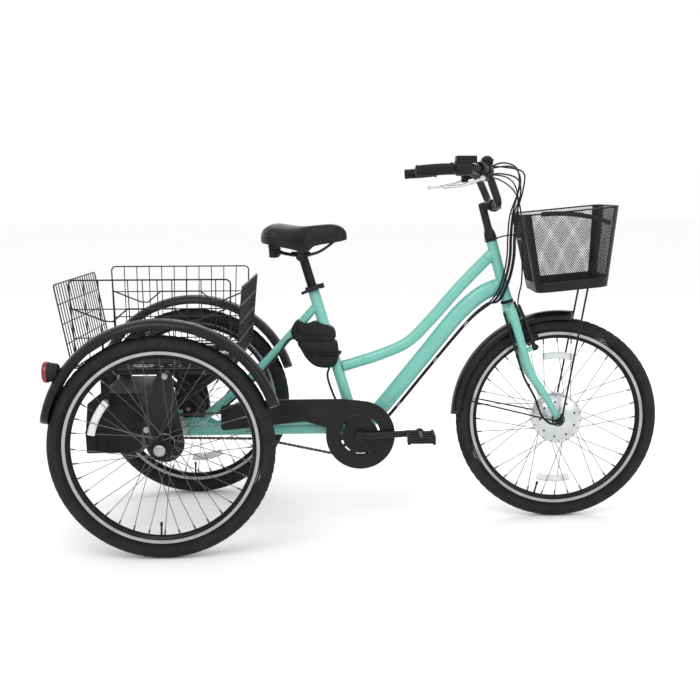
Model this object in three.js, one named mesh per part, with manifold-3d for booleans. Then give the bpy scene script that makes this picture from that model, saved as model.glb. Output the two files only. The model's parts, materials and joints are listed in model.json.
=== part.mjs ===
// Adult tricycle with a front hub motor, a folding wire basket behind and a mesh basket in front.
// Millimetres, +X forward, +Y to the rider's left, +Z up, standing on z = 0.
// Sub-parts are drawn with x = 0 over the rear axle, and one group moves them all by REAR_X.
import * as THREE from 'three';
import { mergeVertices } from 'three/addons/utils/BufferGeometryUtils.js';
import Module from 'manifold-3d';

const wasm = await Module();
wasm.setup();

// ---- driving dimensions ----
const WHEELBASE = 1110;
const HALF_TRACK = 325;
const AXLE_Z = 300;                 // wheel centres, and the tyres' outer radius
const TYRE_HALF_WIDTH = 23;
const RIM_OUTER = 262.3;
const RIM_INNER = 238;
const WHEEL_SEGMENTS = 32;

const STEER_ANGLE = THREE.MathUtils.degToRad(15);   // steering axis leans back from vertical
const HEAD_BOTTOM = { x: 958.5, z: 653 };
const HEAD_TOP_Z = 825;
const STEERER_R = 12.7;

const BB = { x: 526.5, z: 271.5 };
const SEAT_BOTTOM = { x: 517, z: 268 };
const SEAT_TOP = { x: 394, z: 684 };
const SEAT_TUBE_R = 16.5;
const POST_R = 13.6;

const CHAIN_Y = -60;
const CHAINRING_R = 74;
const SPROCKET_R = 34;
const CRANK_LENGTH = 170;
const CRANK_ANGLE = THREE.MathUtils.degToRad(3);

const REAR_FENDER = { x: 3, z: 322, r: 322, from: 16, to: 171 };
const FRONT_FENDER = { x: WHEELBASE + 2, z: 304, r: 318, from: 82, to: 178 };

const SADDLE_REAR = 250;
const SADDLE_LENGTH = 242;
const SADDLE_HALF_WIDTH = 104;
const NOSE_HALF_WIDTH = 26;

const FLOOR_Z = 500;
const BASKET_REAR_X = -249;
const BASKET_FRONT_X = 192;
const SIDE_HINGE = { y: 243, z: 506 };
const END_HINGE_Z = 512;

const SMALLEST_STEP = 0.1;          // detail finer than this is not worth a facet

const TAIL_REACH = REAR_FENDER.r * Math.cos(THREE.MathUtils.degToRad(180 - REAR_FENDER.to)) - REAR_FENDER.x;
const REAR_X = (TAIL_REACH - WHEELBASE - AXLE_Z) / 2;

// ---- materials ----
const paint = (color, roughness = 0.35, metalness = 0.1) =>
  new THREE.MeshStandardMaterial({ color, roughness, metalness });
const MINT = paint(0x7fccba);
const BLACK_PAINT = paint(0x17181a, 0.4, 0.2);
const BLACK_PLASTIC = paint(0x1b1c1e, 0.6, 0);
const RUBBER = paint(0x141414, 0.85, 0);
const ALLOY = paint(0xc4c7ca, 0.35, 0.9);
const STEEL = paint(0x8f9296, 0.4, 0.9);
const RED_LENS = paint(0xb01220, 0.2, 0);

// ---- geometry helpers ----
const vec = (x, y, z) => new THREE.Vector3(x, y, z);

function solidOf(geometry) {
  const plain = geometry.index ? geometry.toNonIndexed() : geometry.clone();
  for (const name of Object.keys(plain.attributes)) {
    if (name !== 'position') plain.deleteAttribute(name);
  }
  const merged = mergeVertices(plain, 1e-4);
  const mesh = new wasm.Mesh({
    numProp: 3,
    vertProperties: new Float32Array(merged.attributes.position.array),
    triVerts: new Uint32Array(merged.index.array),
  });
  mesh.merge();
  return new wasm.Manifold(mesh);
}

function geometryOf(solid) {
  const mesh = solid.simplify(SMALLEST_STEP).getMesh();
  const geometry = new THREE.BufferGeometry();
  geometry.setAttribute('position', new THREE.BufferAttribute(new Float32Array(mesh.vertProperties), 3));
  geometry.setIndex(new THREE.BufferAttribute(new Uint32Array(mesh.triVerts), 1));
  geometry.computeVertexNormals();
  return geometry;
}

const join = (...pieces) => geometryOf(wasm.Manifold.union(pieces.flat().map(solidOf)));

function cut(body, ...tools) {
  return geometryOf(solidOf(body).subtract(wasm.Manifold.union(tools.flat().map(solidOf))));
}

const common = (a, b) => geometryOf(solidOf(a).intersect(solidOf(b)));

// A round bar from a to b, with its own radius at each end.
function rod(a, b, r, sides = 12, endR = r) {
  const length = a.distanceTo(b);
  const geometry = new THREE.CylinderGeometry(endR, r, length, sides);
  const turn = new THREE.Quaternion().setFromUnitVectors(vec(0, 1, 0), b.clone().sub(a).normalize());
  geometry.applyQuaternion(turn);
  const middle = a.clone().add(b).multiplyScalar(0.5);
  return geometry.translate(middle.x, middle.y, middle.z);
}

const ball = (p, r, sides = 10) => new THREE.SphereGeometry(r, sides, 5).translate(p.x, p.y, p.z);

const crossRod = (x, z, y0, y1, r, sides = 16, endR = r) => rod(vec(x, y0, z), vec(x, y1, z), r, sides, endR);

const box = (sx, sy, sz, x, y, z) => new THREE.BoxGeometry(sx, sy, sz).translate(x, y, z);

function ellipseShape(a, b, sides) {
  const corners = [];
  for (let i = 0; i < sides; i++) {
    const turn = (2 * Math.PI * i) / sides;
    corners.push(new THREE.Vector2(a * Math.cos(turn), b * Math.sin(turn)));
  }
  return new THREE.Shape(corners);
}

// A bar of elliptical section along a smooth curve. On a curve in the X-Z plane, a is its sideways half width.
// taper, if given, scales the section at each fraction of the way along.
function sweep(points, a, b, steps, sides, taper) {
  const extrudePath = new THREE.CatmullRomCurve3(points, false, 'centripetal');
  const bar = new THREE.ExtrudeGeometry(ellipseShape(a, b, sides), { steps, extrudePath, bevelEnabled: false });
  if (!taper) return bar;
  const centres = extrudePath.getSpacedPoints(steps);
  const corners = bar.attributes.position;
  for (let i = 0; i < corners.count; i++) {
    const corner = vec(0, 0, 0).fromBufferAttribute(corners, i);
    const gaps = centres.map((centre) => centre.distanceTo(corner));
    const nearest = gaps.indexOf(Math.min(...gaps));
    const centre = centres[nearest];
    corners.setXYZ(i, ...corner.sub(centre).multiplyScalar(taper(nearest / steps)).add(centre));
  }
  return bar;
}

function shapeOf(points) {
  const corners = points.map(([x, z]) => new THREE.Vector2(x, z));
  if (THREE.ShapeUtils.isClockWise(corners)) corners.reverse();
  return new THREE.Shape(corners);
}

// An outline in the X-Z plane, given thickness along Y and centred on y.
function plate(shape, thickness, y) {
  const geometry = new THREE.ExtrudeGeometry(shape, { depth: thickness, bevelEnabled: false, curveSegments: 8 });
  geometry.rotateX(Math.PI / 2);
  return geometry.translate(0, y + thickness / 2, 0);
}

// A ring or disc about Y: profile points are [radius, y], in a loop that closes on itself or on the axis.
function turned(profile, segments = 24) {
  const points = profile.map(([r, y]) => new THREE.Vector2(r, y));
  if (profile[0][0] > 0) points.push(points[0].clone());
  return new THREE.LatheGeometry(points, segments);
}

const tubeRing = (inner, outer, y0, y1, segments = 24) =>
  turned([[inner, y0], [outer, y0], [outer, y1], [inner, y1]], segments);

// The part of a ring about Y between two angles, measured from +X towards +Z.
function sector(geometry, fromDeg, toDeg, reach, halfWidth) {
  const points = [[0, 0]];
  const STEPS = 8;
  for (let i = 0; i <= STEPS; i++) {
    const t = THREE.MathUtils.degToRad(fromDeg + ((toDeg - fromDeg) * i) / STEPS);
    points.push([reach * Math.cos(t), reach * Math.sin(t)]);
  }
  return common(geometry, plate(shapeOf(points), 2 * halfWidth, 0));
}

// ---- assembly ----
const group = new THREE.Group();
group.position.x = REAR_X;

function add(name, geometry, material, x = 0, y = 0, z = 0) {
  const mesh = new THREE.Mesh(geometry, material);
  mesh.name = name;
  mesh.position.set(x, y, z);
  group.add(mesh);
  return mesh;
}

// Pieces drawn along +Y about the origin are stood on the steering axis at a given height.
const steerPoint = (z) => vec(HEAD_BOTTOM.x - (z - HEAD_BOTTOM.z) * Math.tan(STEER_ANGLE), 0, z);

function addOnSteeringAxis(name, geometry, material, z) {
  const mesh = add(name, geometry, material, ...steerPoint(z));
  mesh.rotation.set(Math.PI / 2, 0, 0);
  mesh.rotation.order = 'YXZ';
  mesh.rotation.y = -STEER_ANGLE;
}

const seatPoint = (z) =>
  vec(SEAT_BOTTOM.x + ((SEAT_TOP.x - SEAT_BOTTOM.x) * (z - SEAT_BOTTOM.z)) / (SEAT_TOP.z - SEAT_BOTTOM.z), 0, z);

// ---- main frame ----
const DOWN_TUBE = [[532, 274], [593, 342], [719, 495], [828, 625], [890, 675], [938, 695]];
const TOP_TUBE = [[926, 800], [820, 692], [731, 592], [668, 531], [594, 497], [478, 461]];
const SEAT_STAY = [[402, 640], [241, 463], [162, 389], [62, 306]];
const STAY_Y = 34;
const inPlane = (points, y = 0) => points.map(([x, z]) => vec(x, y, z));

function chainStay(side) {
  return sweep(inPlane([[515, 275], [440, 281], [240, 281], [30, 281]], side * STAY_Y), 9, 15, 5, 8);
}

function rearGusset(side) {
  const outline = shapeOf([[-22, 282], [-22, 318], [-8, 330], [40, 330], [110, 292], [110, 270], [30, 264], [-8, 270]]);
  outline.holes.push(new THREE.Path().absarc(0, AXLE_Z, 14, 0, 2 * Math.PI, true));
  return plate(outline, 6, side * STAY_Y);
}

function mainFrame() {
  const HEAD_TUBE_R = 17.5;
  const BORE_GAP = 0.9;
  const tubes = join(
    rod(steerPoint(HEAD_BOTTOM.z), steerPoint(HEAD_TOP_Z), HEAD_TUBE_R, 16, HEAD_TUBE_R - 1.5),
    sweep(inPlane(DOWN_TUBE), 18, 24, 9, 12),
    sweep(inPlane(TOP_TUBE), 15, 17, 10, 12),
    rod(seatPoint(SEAT_BOTTOM.z), seatPoint(SEAT_TOP.z), SEAT_TUBE_R, 16),
    crossRod(BB.x, BB.z, -35, 35, 21, 16),
    sweep(inPlane(SEAT_STAY), 12.5, 12.5, 8, 10),
    crossRod(66, 300, -STAY_Y, STAY_Y, 15, 10),
    crossRod(440, 281, -STAY_Y, STAY_Y, 9, 8),
    chainStay(1), chainStay(-1), rearGusset(1), rearGusset(-1),
  );
  return cut(tubes,
    rod(steerPoint(HEAD_BOTTOM.z - 10), steerPoint(HEAD_TOP_Z + 10), STEERER_R + BORE_GAP, 16),
    rod(seatPoint(440), seatPoint(SEAT_TOP.z + 10), POST_R + 0.6, 16),
    crossRod(BB.x, BB.z, -40, 40, 13, 16));
}
add('main_frame', mainFrame(), MINT);

addOnSteeringAxis('headset_lower_cup', tubeRing(STEERER_R + 0.8, 20, -8.4, -0.4), BLACK_PAINT, HEAD_BOTTOM.z);

// Pieces drawn round +Z are leant back onto the seat tube's axis at a given height.
function onSeatAxis(geometry, z) {
  geometry.rotateY(-Math.atan2(SEAT_BOTTOM.x - SEAT_TOP.x, SEAT_TOP.z - SEAT_BOTTOM.z));
  return geometry.translate(...seatPoint(z));
}

function seatCollar() {
  const ring = rod(vec(0, 0, 1), vec(0, 0, 15), 22, 24);
  const ear = box(18, 20, 12, 26, 0, 8);
  const slit = box(30, 2.4, 30, 26, 0, 8);
  return onSeatAxis(cut(join(ring, ear), rod(vec(0, 0, -5), vec(0, 0, 25), POST_R + 0.6, 24), slit), SEAT_TOP.z);
}
add('seat_clamp_collar', seatCollar(), BLACK_PAINT);

const CABLE_R = 5;
const FRAME_CABLE = [[986, -30, 732], [966, -32, 700], [940, -28, 664], [921, -12, 646], [905, 0, 641],
  [860, 0, 606], [749, 0, 478], [640, 0, 345], [602, 0, 300]];
add('frame_cables', sweep(FRAME_CABLE.map((p) => vec(...p)), CABLE_R, CABLE_R, 18, 6), RUBBER);

// Controller bag between the seat stay and the seat tube, strapped round both.
function controllerCase() {
  const bag = plate(shapeOf([[344, 536], [460, 540], [466, 513], [465, 484], [452, 462], [440, 457], [396, 462],
    [356, 512]]), 64, 0);
  const yoke = plate(shapeOf([[324, 564], [346, 602], [372, 588], [398, 596], [440, 584], [455, 572], [458, 545],
    [440, 530], [348, 530]]), 56, 0);
  const GAP = 0.7;
  return cut(join(bag, yoke),
    rod(seatPoint(430), seatPoint(660), SEAT_TUBE_R + GAP, 20),
    sweep(inPlane(SEAT_STAY), 12.5 + GAP, 12.5 + GAP, 8, 10));
}
add('controller_case', controllerCase(), BLACK_PLASTIC);

// ---- rear carrier frame ----
const PLATE_Y = 272;
const RAIL_Y = 215;
const RAIL_Z = 486;
const RAIL_R = 9;

function sidePlate(side) {
  const outline = new THREE.Shape();
  outline.absarc(0, AXLE_Z, 52, -Math.PI, 0.15, false);
  outline.lineTo(24, 470);
  outline.lineTo(24, 494);
  outline.lineTo(-14, 494);
  outline.lineTo(-24, 470);
  outline.lineTo(-60, 345);
  outline.holes.push(new THREE.Path().absarc(0, AXLE_Z, 22, 0, 2 * Math.PI, true));
  return plate(outline, 6, side * PLATE_Y);
}

const LOWER_BAR = { x: -48, z: 337 };
function rearSubframe() {
  const pieces = [sidePlate(1), sidePlate(-1)];
  for (const [x, z, reach] of [[4, 482, PLATE_Y], [LOWER_BAR.x, LOWER_BAR.z, PLATE_Y], [-222, RAIL_Z, RAIL_Y],
    [168, RAIL_Z, RAIL_Y]]) {
    pieces.push(crossRod(x, z, -reach, reach, RAIL_R, 8));
  }
  const bracket = shapeOf([[14, 322], [76, 322], [80, 360], [40, 410], [14, 400]]);
  for (const side of [1, -1]) {
    pieces.push(rod(vec(-228, side * RAIL_Y, RAIL_Z), vec(176, side * RAIL_Y, RAIL_Z), RAIL_R, 8));
    pieces.push(rod(vec(-62, side * 45.5, 478), vec(76, side * 45.5, 335), 8, 8));
    pieces.push(plate(bracket, 6, side * 40.3));
    pieces.push(rod(vec(-225, side * 45.5, RAIL_Z), vec(168, side * 45.5, RAIL_Z), 8, 8));
    pieces.push(rod(vec(LOWER_BAR.x, side * 110, LOWER_BAR.z), vec(168, side * 110, RAIL_Z), 8, 8));
    pieces.push(box(26, 3, 120, -180, side * 154, 432));
    pieces.push(crossRod(-180, RAIL_Z, side * 45.5, side * RAIL_Y, 7, 8));
  }
  return join(pieces);
}
add('rear_subframe', rearSubframe(), BLACK_PAINT);

const AXLE_R = 10;
for (const [name, side] of [['left', 1], ['right', -1]]) {
  const bearing = turned([[AXLE_R + 0.6, -11], [21.4, -9], [21.4, 3.5], [28, 3.5], [28, 8], [AXLE_R + 0.6, 11]], 20);
  if (side < 0) bearing.rotateX(Math.PI);
  add(`axle_bearing_${name}`, bearing, STEEL, 0, side * PLATE_Y, AXLE_Z);
}

add('band_brake', turned([[12.8, -12], [44, -12], [49, -8], [49, 8], [44, 12], [12.8, 12]], 20), BLACK_PAINT,
  0, 57, AXLE_Z);

// Battery in a lidded box, hung behind the axle.
const BATTERY_SIDE = [[-243, 241], [-243, 300], [-236, 385], [-196, 416], [-84, 416], [-84, 241]];
add('battery_box', plate(shapeOf(BATTERY_SIDE), 300, 0), BLACK_PLASTIC);

// ---- rear fenders and lamp ----
const FENDER_SHEET = 2.5;
function fenderProfile(r) {
  const outer = [[r - 16, -31], [r - 4, -25], [r, 0], [r - 4, 25], [r - 16, 31]];
  const inner = outer.map(([radius, y]) => [radius - FENDER_SHEET, y * 0.93]).reverse();
  inner[0] = [r - 16, 31 - FENDER_SHEET];
  inner[inner.length - 1] = [r - 16, FENDER_SHEET - 31];
  return [...outer, ...inner];
}

function fenderSweep({ r, from, to }) {
  return sector(turned(fenderProfile(r), 40), from, to, 2 * r, 60);
}

function rearFender(side) {
  const shell = fenderSweep(REAR_FENDER);
  shell.translate(REAR_FENDER.x, side * HALF_TRACK, REAR_FENDER.z);
  const stays = [];
  const STAY_FROM_AXLE = 150;
  for (const x of [-STAY_FROM_AXLE, STAY_FROM_AXLE]) {
    const rise = Math.sqrt((REAR_FENDER.r - 12) ** 2 - (x - REAR_FENDER.x) ** 2);
    const top = REAR_FENDER.z + rise;
    stays.push(sweep([vec(x, side * (RAIL_Y + RAIL_R + 0.5), RAIL_Z), vec(x, side * 282, RAIL_Z),
      vec(x, side * 292, RAIL_Z + 12), vec(x, side * 295, top)], 3, 3, 6, 6));
  }
  return join(shell, stays);
}
add('rear_fender_left', rearFender(1), BLACK_PLASTIC);
add('rear_fender_right', rearFender(-1), BLACK_PLASTIC);

const LAMP_Z = 505;
function lampBody() {
  const shell = rod(vec(-292, -HALF_TRACK, LAMP_Z), vec(-240, -HALF_TRACK, LAMP_Z), 28, 20, 20);
  return cut(shell, crossRod(REAR_FENDER.x, REAR_FENDER.z, -HALF_TRACK - 60, -HALF_TRACK + 60,
    REAR_FENDER.r + 0.5, 96));
}
add('tail_lamp_body', lampBody(), BLACK_PLASTIC);
add('tail_lamp_lens', rod(vec(-300, -HALF_TRACK, LAMP_Z), vec(-292.3, -HALF_TRACK, LAMP_Z), 25, 20, 28), RED_LENS);

// ---- wheels ----
const TYRE_PROFILE = [[263, -13], [280, -TYRE_HALF_WIDTH], [AXLE_Z, -7], [AXLE_Z, 7], [280, TYRE_HALF_WIDTH],
  [263, 13]];
const tyre = () => turned(TYRE_PROFILE, WHEEL_SEGMENTS);
const rim = () => turned([[RIM_INNER, -8], [RIM_OUTER, -12.5], [RIM_OUTER, 12.5], [RIM_INNER, 8]], WHEEL_SEGMENTS);

// Thirty-six spokes joined to the hub they hold: those of one flange lean forward and those of the other back.
function spokedHub(profile, flangeR, flangeY, sweepDeg) {
  const SPOKES = 36;
  const spokeEnd = RIM_INNER * Math.cos(Math.PI / WHEEL_SEGMENTS) - 0.6;
  const pieces = [turned(profile, 18)];
  for (let i = 0; i < SPOKES; i++) {
    const side = i % 2 ? 1 : -1;
    const rimAngle = (2 * Math.PI * i) / SPOKES;
    const hubAngle = rimAngle + side * THREE.MathUtils.degToRad(sweepDeg);
    const foot = vec(flangeR * Math.cos(hubAngle), side * flangeY, flangeR * Math.sin(hubAngle));
    const tip = vec(spokeEnd * Math.cos(rimAngle), side * 3, spokeEnd * Math.sin(rimAngle));
    pieces.push(rod(foot, tip, 1.4, 3));
  }
  return join(pieces);
}

const REAR_HUB = [[AXLE_R + 0.5, -26], [30, -24], [30, -20], [17, -16], [17, 16], [30, 20], [30, 24],
  [AXLE_R + 0.5, 26]];
for (const [name, side] of [['left', 1], ['right', -1]]) {
  const y = side * HALF_TRACK;
  add(`rear_tyre_${name}`, tyre(), RUBBER, 0, y, AXLE_Z);
  add(`rear_rim_${name}`, rim(), ALLOY, 0, y, AXLE_Z);
  add(`rear_hub_${name}`, spokedHub(REAR_HUB, 27, 22, 55), STEEL, 0, y, AXLE_Z);
}

function rearAxleShaft() {
  const NUT_FROM = HALF_TRACK + 28;
  const NUT_TO = HALF_TRACK + 38;
  const END = HALF_TRACK + 44;
  const pieces = [crossRod(0, 0, -END, END, AXLE_R, 20)];
  for (const side of [1, -1]) pieces.push(crossRod(0, 0, side * NUT_FROM, side * NUT_TO, 16, 6));
  return join(pieces);
}
add('rear_axle_shaft', rearAxleShaft(), STEEL, 0, 0, AXLE_Z);

add('front_tyre', tyre(), RUBBER, WHEELBASE, 0, AXLE_Z);
add('front_rim', rim(), ALLOY, WHEELBASE, 0, AXLE_Z);
const FRONT_AXLE_R = 5.8;
const MOTOR = [[FRONT_AXLE_R + 0.8, -40], [40, -37], [73, -24], [73, -20], [66, -18], [66, 18], [73, 20], [73, 24],
  [40, 37], [FRONT_AXLE_R + 0.8, 40]];
add('hub_motor', spokedHub(MOTOR, 70, 22, 24), ALLOY, WHEELBASE, 0, AXLE_Z);

// ---- drive ----
// The lower run of chain rides over a roller that hangs from the chain case.
const GUIDE = { x: 235, z: 241, r: 14 };

function chainLoop() {
  const HALF = 4;
  const outline = (offset) => {
    const [front, rear] = [CHAINRING_R + offset, SPROCKET_R + offset];
    const distance = Math.hypot(BB.x, BB.z - AXLE_Z);
    const slope = Math.atan2(BB.z - AXLE_Z, BB.x);
    const top = slope + Math.PI / 2 + Math.asin((CHAINRING_R - SPROCKET_R) / distance);
    const points = [];
    const arc = (cx, cz, r, from, to, steps) => {
      for (let i = 0; i <= steps; i++) {
        const t = from + ((to - from) * i) / steps;
        points.push([cx + r * Math.cos(t), cz + r * Math.sin(t)]);
      }
    };
    const bottomFront = -Math.PI / 2 - 0.22;
    arc(BB.x, BB.z, front, bottomFront, top, 20);
    arc(0, AXLE_Z, rear, top, 1.5 * Math.PI - 0.02, 10);
    points.push([GUIDE.x, GUIDE.z + GUIDE.r + 5 - offset]);
    return points;
  };
  const shape = shapeOf(outline(HALF));
  shape.holes.push(new THREE.Path(outline(-HALF).map(([x, z]) => new THREE.Vector2(x, z))));
  return plate(shape, 7, CHAIN_Y);
}
add('drive_chain', chainLoop(), STEEL);

function chainCase() {
  const R = 100;
  const WALL = 3;
  const OUTER_Y = -86;
  const DEPTH = 13;
  const outline = (inset) => {
    const shape = new THREE.Shape();
    shape.moveTo(430 + inset, 296 + inset);
    shape.lineTo(369, 315 + inset);
    shape.lineTo(288, 306 + inset);
    shape.lineTo(128 + inset, 290 + inset);
    shape.lineTo(128 + inset, 362 - inset);
    shape.lineTo(284, 377 - inset);
    shape.lineTo(480, 377 - inset);
    const top = Math.asin((377 - inset - BB.z) / (R - inset + 8));
    shape.absarc(BB.x, BB.z, R - inset, Math.min(top, 1.9), -Math.PI - 0.28, true);
    return shape;
  };
  const shell = cut(plate(outline(0), DEPTH, OUTER_Y + DEPTH / 2),
    plate(outline(WALL), DEPTH, OUTER_Y + WALL + DEPTH / 2));
  const slots = [];
  for (const middle of [35, 155, 215, 275]) {
    const ring = sector(tubeRing(52, 58, -20, 20, 32), middle - 20, middle + 20, 200, 30);
    slots.push(ring.translate(BB.x, OUTER_Y, BB.z));
  }
  const skinY = OUTER_Y + WALL / 2;
  const roller = crossRod(GUIDE.x, GUIDE.z, skinY - 4, CHAIN_Y + 5, GUIDE.r, 16);
  const hanger = box(20, WALL, 80, GUIDE.x, skinY, GUIDE.z + 38);
  return cut(join(shell, roller, hanger), crossRod(BB.x, BB.z, -120, -60, 24, 24), slots);
}
add('chain_case', chainCase(), BLACK_PLASTIC);

add('rear_sprocket', turned([[12.8, -9], [18, -9], [18, -1.5], [SPROCKET_R - 4.6, -1.5], [SPROCKET_R - 4.6, 1.5],
  [18, 1.5], [18, 9], [12.8, 9]], 20), STEEL, 0, CHAIN_Y, AXLE_Z);

const crankTip = (side) => vec(BB.x - side * CRANK_LENGTH * Math.cos(CRANK_ANGLE), 0,
  BB.z - side * CRANK_LENGTH * Math.sin(CRANK_ANGLE));
const ARM_Y = 101;
const PEDAL_INNER = 112;
const PEDAL_OUTER = 206;

function crankArm(side) {
  const tip = crankTip(side);
  const [a, b] = [vec(BB.x, side * ARM_Y, BB.z), vec(tip.x, side * ARM_Y, tip.z)];
  return [rod(a, b, 11, 8, 8), crossRod(BB.x, BB.z, side * (ARM_Y - 10), side * (ARM_Y + 9), 17, 16),
    crossRod(tip.x, tip.z, side * (ARM_Y - 8), side * (ARM_Y + 8), 13, 16),
    crossRod(tip.x, tip.z, side * ARM_Y, side * (PEDAL_OUTER - 6), 5, 10)];
}

function crankset() {
  const ring = tubeRing(48, CHAINRING_R - 4.6, -1.5, 1.5, 28);
  ring.translate(BB.x, CHAIN_Y, BB.z);
  const pieces = [...crankArm(-1), ring, crossRod(BB.x, BB.z, -ARM_Y, 88, 9, 16)];
  const boss = crossRod(BB.x, BB.z, CHAIN_Y - 4, CHAIN_Y + 4, 20, 16);
  pieces.push(boss);
  const ARMS = 5;
  for (let i = 0; i < ARMS; i++) {
    const t = (2 * Math.PI * i) / ARMS;
    const out = vec(BB.x + 52 * Math.cos(t), CHAIN_Y, BB.z + 52 * Math.sin(t));
    pieces.push(rod(vec(BB.x, CHAIN_Y, BB.z), out, 3.5, 4));
  }
  return join(pieces);
}
add('crankset', crankset(), BLACK_PAINT);
add('crank_arm_left', cut(join(crankArm(1)), crossRod(BB.x, BB.z, 80, ARM_Y + 2, 9.5, 16)), BLACK_PAINT);

function pedal(side) {
  const tip = crankTip(side);
  const middle = side * (PEDAL_INNER + PEDAL_OUTER) / 2;
  const block = box(80, PEDAL_OUTER - PEDAL_INNER, 26, tip.x, middle, tip.z);
  const pockets = [-24, 24].map((dx) => box(22, 70, 40, tip.x + dx, middle, tip.z));
  return cut(block, pockets, crossRod(tip.x, tip.z, side * (PEDAL_INNER - 5), side * (PEDAL_OUTER - 5), 5.8, 12));
}
add('pedal_left', pedal(1), BLACK_PLASTIC);
add('pedal_right', pedal(-1), BLACK_PLASTIC);

// ---- fork, front axle and brake arms ----
const LEG_Y = 55;
const FORK_LEG = [[966, 626], [981, 580], [1000, 515], [1025, 443], [1063, 384], [1100, 318]];
const LEG_R = 14.5;
const DROPOUT_R = 9;
const BRAKE_BOSS = { x: 1003, z: 507, lean: 0.33 };
const brakeDirection = vec(Math.cos(BRAKE_BOSS.lean), 0, Math.sin(BRAKE_BOSS.lean));
const brakePoint = (side, reach) => vec(BRAKE_BOSS.x, side * 50, BRAKE_BOSS.z).addScaledVector(brakeDirection, reach);

function fork() {
  const pieces = [
    rod(steerPoint(626), steerPoint(829), STEERER_R, 20),
    rod(steerPoint(626), steerPoint(643.5), 18, 16, 17),
    crossRod(966, 626, -LEG_Y, LEG_Y, 14, 12),
  ];
  for (const side of [1, -1]) {
    const y = side * LEG_Y;
    pieces.push(sweep(inPlane(FORK_LEG, y), LEG_R, LEG_R, 8, 10, (t) => 1 + t * (DROPOUT_R / LEG_R - 1)));
    const dropout = shapeOf([[1092, 322], [1108, 328], [1124, 304], [1120, 288], [1104, 286], [1096, 300]]);
    pieces.push(plate(dropout, 7, y));
    pieces.push(ball(vec(966, y, 626), 14.8));
    pieces.push(rod(brakePoint(side, 0), brakePoint(side, 24), 7, 10));
    pieces.push(rod(brakePoint(side, 20), brakePoint(side, 44), 4, 10));
  }
  return cut(join(pieces), crossRod(WHEELBASE, AXLE_Z, -90, 90, FRONT_AXLE_R + 0.8, 16));
}
add('fork', fork(), MINT);

function frontAxle() {
  const pieces = [crossRod(0, 0, -76, 76, FRONT_AXLE_R, 12)];
  for (const side of [1, -1]) {
    pieces.push(crossRod(0, 0, side * 64, side * 73, 11, 6));
    pieces.push(crossRod(0, 0, side * 41, side * 51, 8.5, 8));
  }
  return join(pieces);
}
add('front_axle', frontAxle(), BLACK_PAINT, WHEELBASE, 0, AXLE_Z);

function brakeArm(side) {
  const PIVOT_REACH = 34;
  const pivot = brakePoint(side, PIVOT_REACH);
  const head = vec(pivot.x - 47, side * 46, pivot.z + 123);
  const barrel = rod(brakePoint(side, PIVOT_REACH - 7), brakePoint(side, PIVOT_REACH + 7), 9, 12);
  const arm = rod(pivot, head, 8, 8, 5.5);
  const shoeAt = pivot.clone().lerp(head, 0.16);
  const shoe = box(52, 9, 10, 0, 0, 0);
  shoe.rotateY(-BRAKE_BOSS.lean);
  shoe.translate(shoeAt.x, side * 18, shoeAt.z);
  const post = crossRod(shoeAt.x, shoeAt.z, side * 15, side * 48, 4, 8);
  return cut(join(barrel, arm, shoe, post), rod(brakePoint(side, 10), brakePoint(side, 60), 4.7, 12));
}
add('brake_arm_left', brakeArm(1), BLACK_PAINT);
add('brake_arm_right', brakeArm(-1), BLACK_PAINT);

// An eyelet on the front axle with a tab that carries a stay.
function axleEye(side, y0, y1, tab) {
  const ring = tubeRing(FRONT_AXLE_R + 0.8, 11, y0, y1, 12);
  if (side < 0) ring.rotateX(Math.PI);
  ring.translate(WHEELBASE, 0, AXLE_Z);
  return join(ring, plate(shapeOf(tab), y1 - y0, (side * (y0 + y1)) / 2));
}

function frontFender() {
  const shell = fenderSweep(FRONT_FENDER);
  shell.translate(FRONT_FENDER.x, 0, FRONT_FENDER.z);
  const pieces = [shell, rod(vec(986, 0, 586), vec(972, 0, 612), 4, 8)];
  const tab = [[1103, 297], [1103, 305], [1087, 306], [1087, 298]];
  for (const side of [1, -1]) {
    pieces.push(axleEye(side, 59, 61.2, tab));
    pieces.push(rod(vec(1094, side * 61.6, 301.6), vec(813, side * 29.6, 367), 2.4, 6));
  }
  return join(pieces);
}
add('front_fender', frontFender(), BLACK_PLASTIC);

// ---- stem, handlebar and controls ----
const BAR_R = 11.1;
const CLAMP = { x: 917, z: 928 };

function stem() {
  const post = join(
    rod(steerPoint(831.5), steerPoint(862), 18, 20, 12),
    rod(steerPoint(860), steerPoint(924), 11.5, 16),
    ball(steerPoint(924), 13),
    rod(steerPoint(924), vec(CLAMP.x, 0, CLAMP.z), 12, 12),
    crossRod(CLAMP.x, CLAMP.z, -22, 22, 18, 16));
  return cut(post, crossRod(CLAMP.x, CLAMP.z, -40, 40, 13.6, 24));
}
add('stem', stem(), BLACK_PAINT);

// Half of the handlebar's centre line, from the rear end of the grip to the clamp.
const GRIP_END = vec(679, 290, 1022);
const GRIP_FRONT = vec(790, 281, 1030);
const alongGrip = (t) => GRIP_END.clone().lerp(GRIP_FRONT, t);
const BAR_HALF = [GRIP_END, alongGrip(0.45), alongGrip(0.9), GRIP_FRONT, vec(842, 246, 1030),
  vec(876, 186, 1022), vec(889, 140, 1006), vec(902, 124, 975), vec(914, 114, 944), vec(CLAMP.x, 84, 930)];

function handlebar() {
  const far = BAR_HALF.map((p) => vec(p.x, -p.y, p.z)).reverse();
  const path = [...BAR_HALF, vec(CLAMP.x, 30, CLAMP.z), vec(CLAMP.x, -30, CLAMP.z), ...far];
  return join(sweep(path, BAR_R, BAR_R, 44, 8), crossRod(CLAMP.x, CLAMP.z, -34, 34, 12.7, 16));
}
add('handlebar', handlebar(), BLACK_PAINT);

const onGrip = (side, t) => {
  const p = alongGrip(t);
  return vec(p.x, side * p.y, p.z);
};

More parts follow.
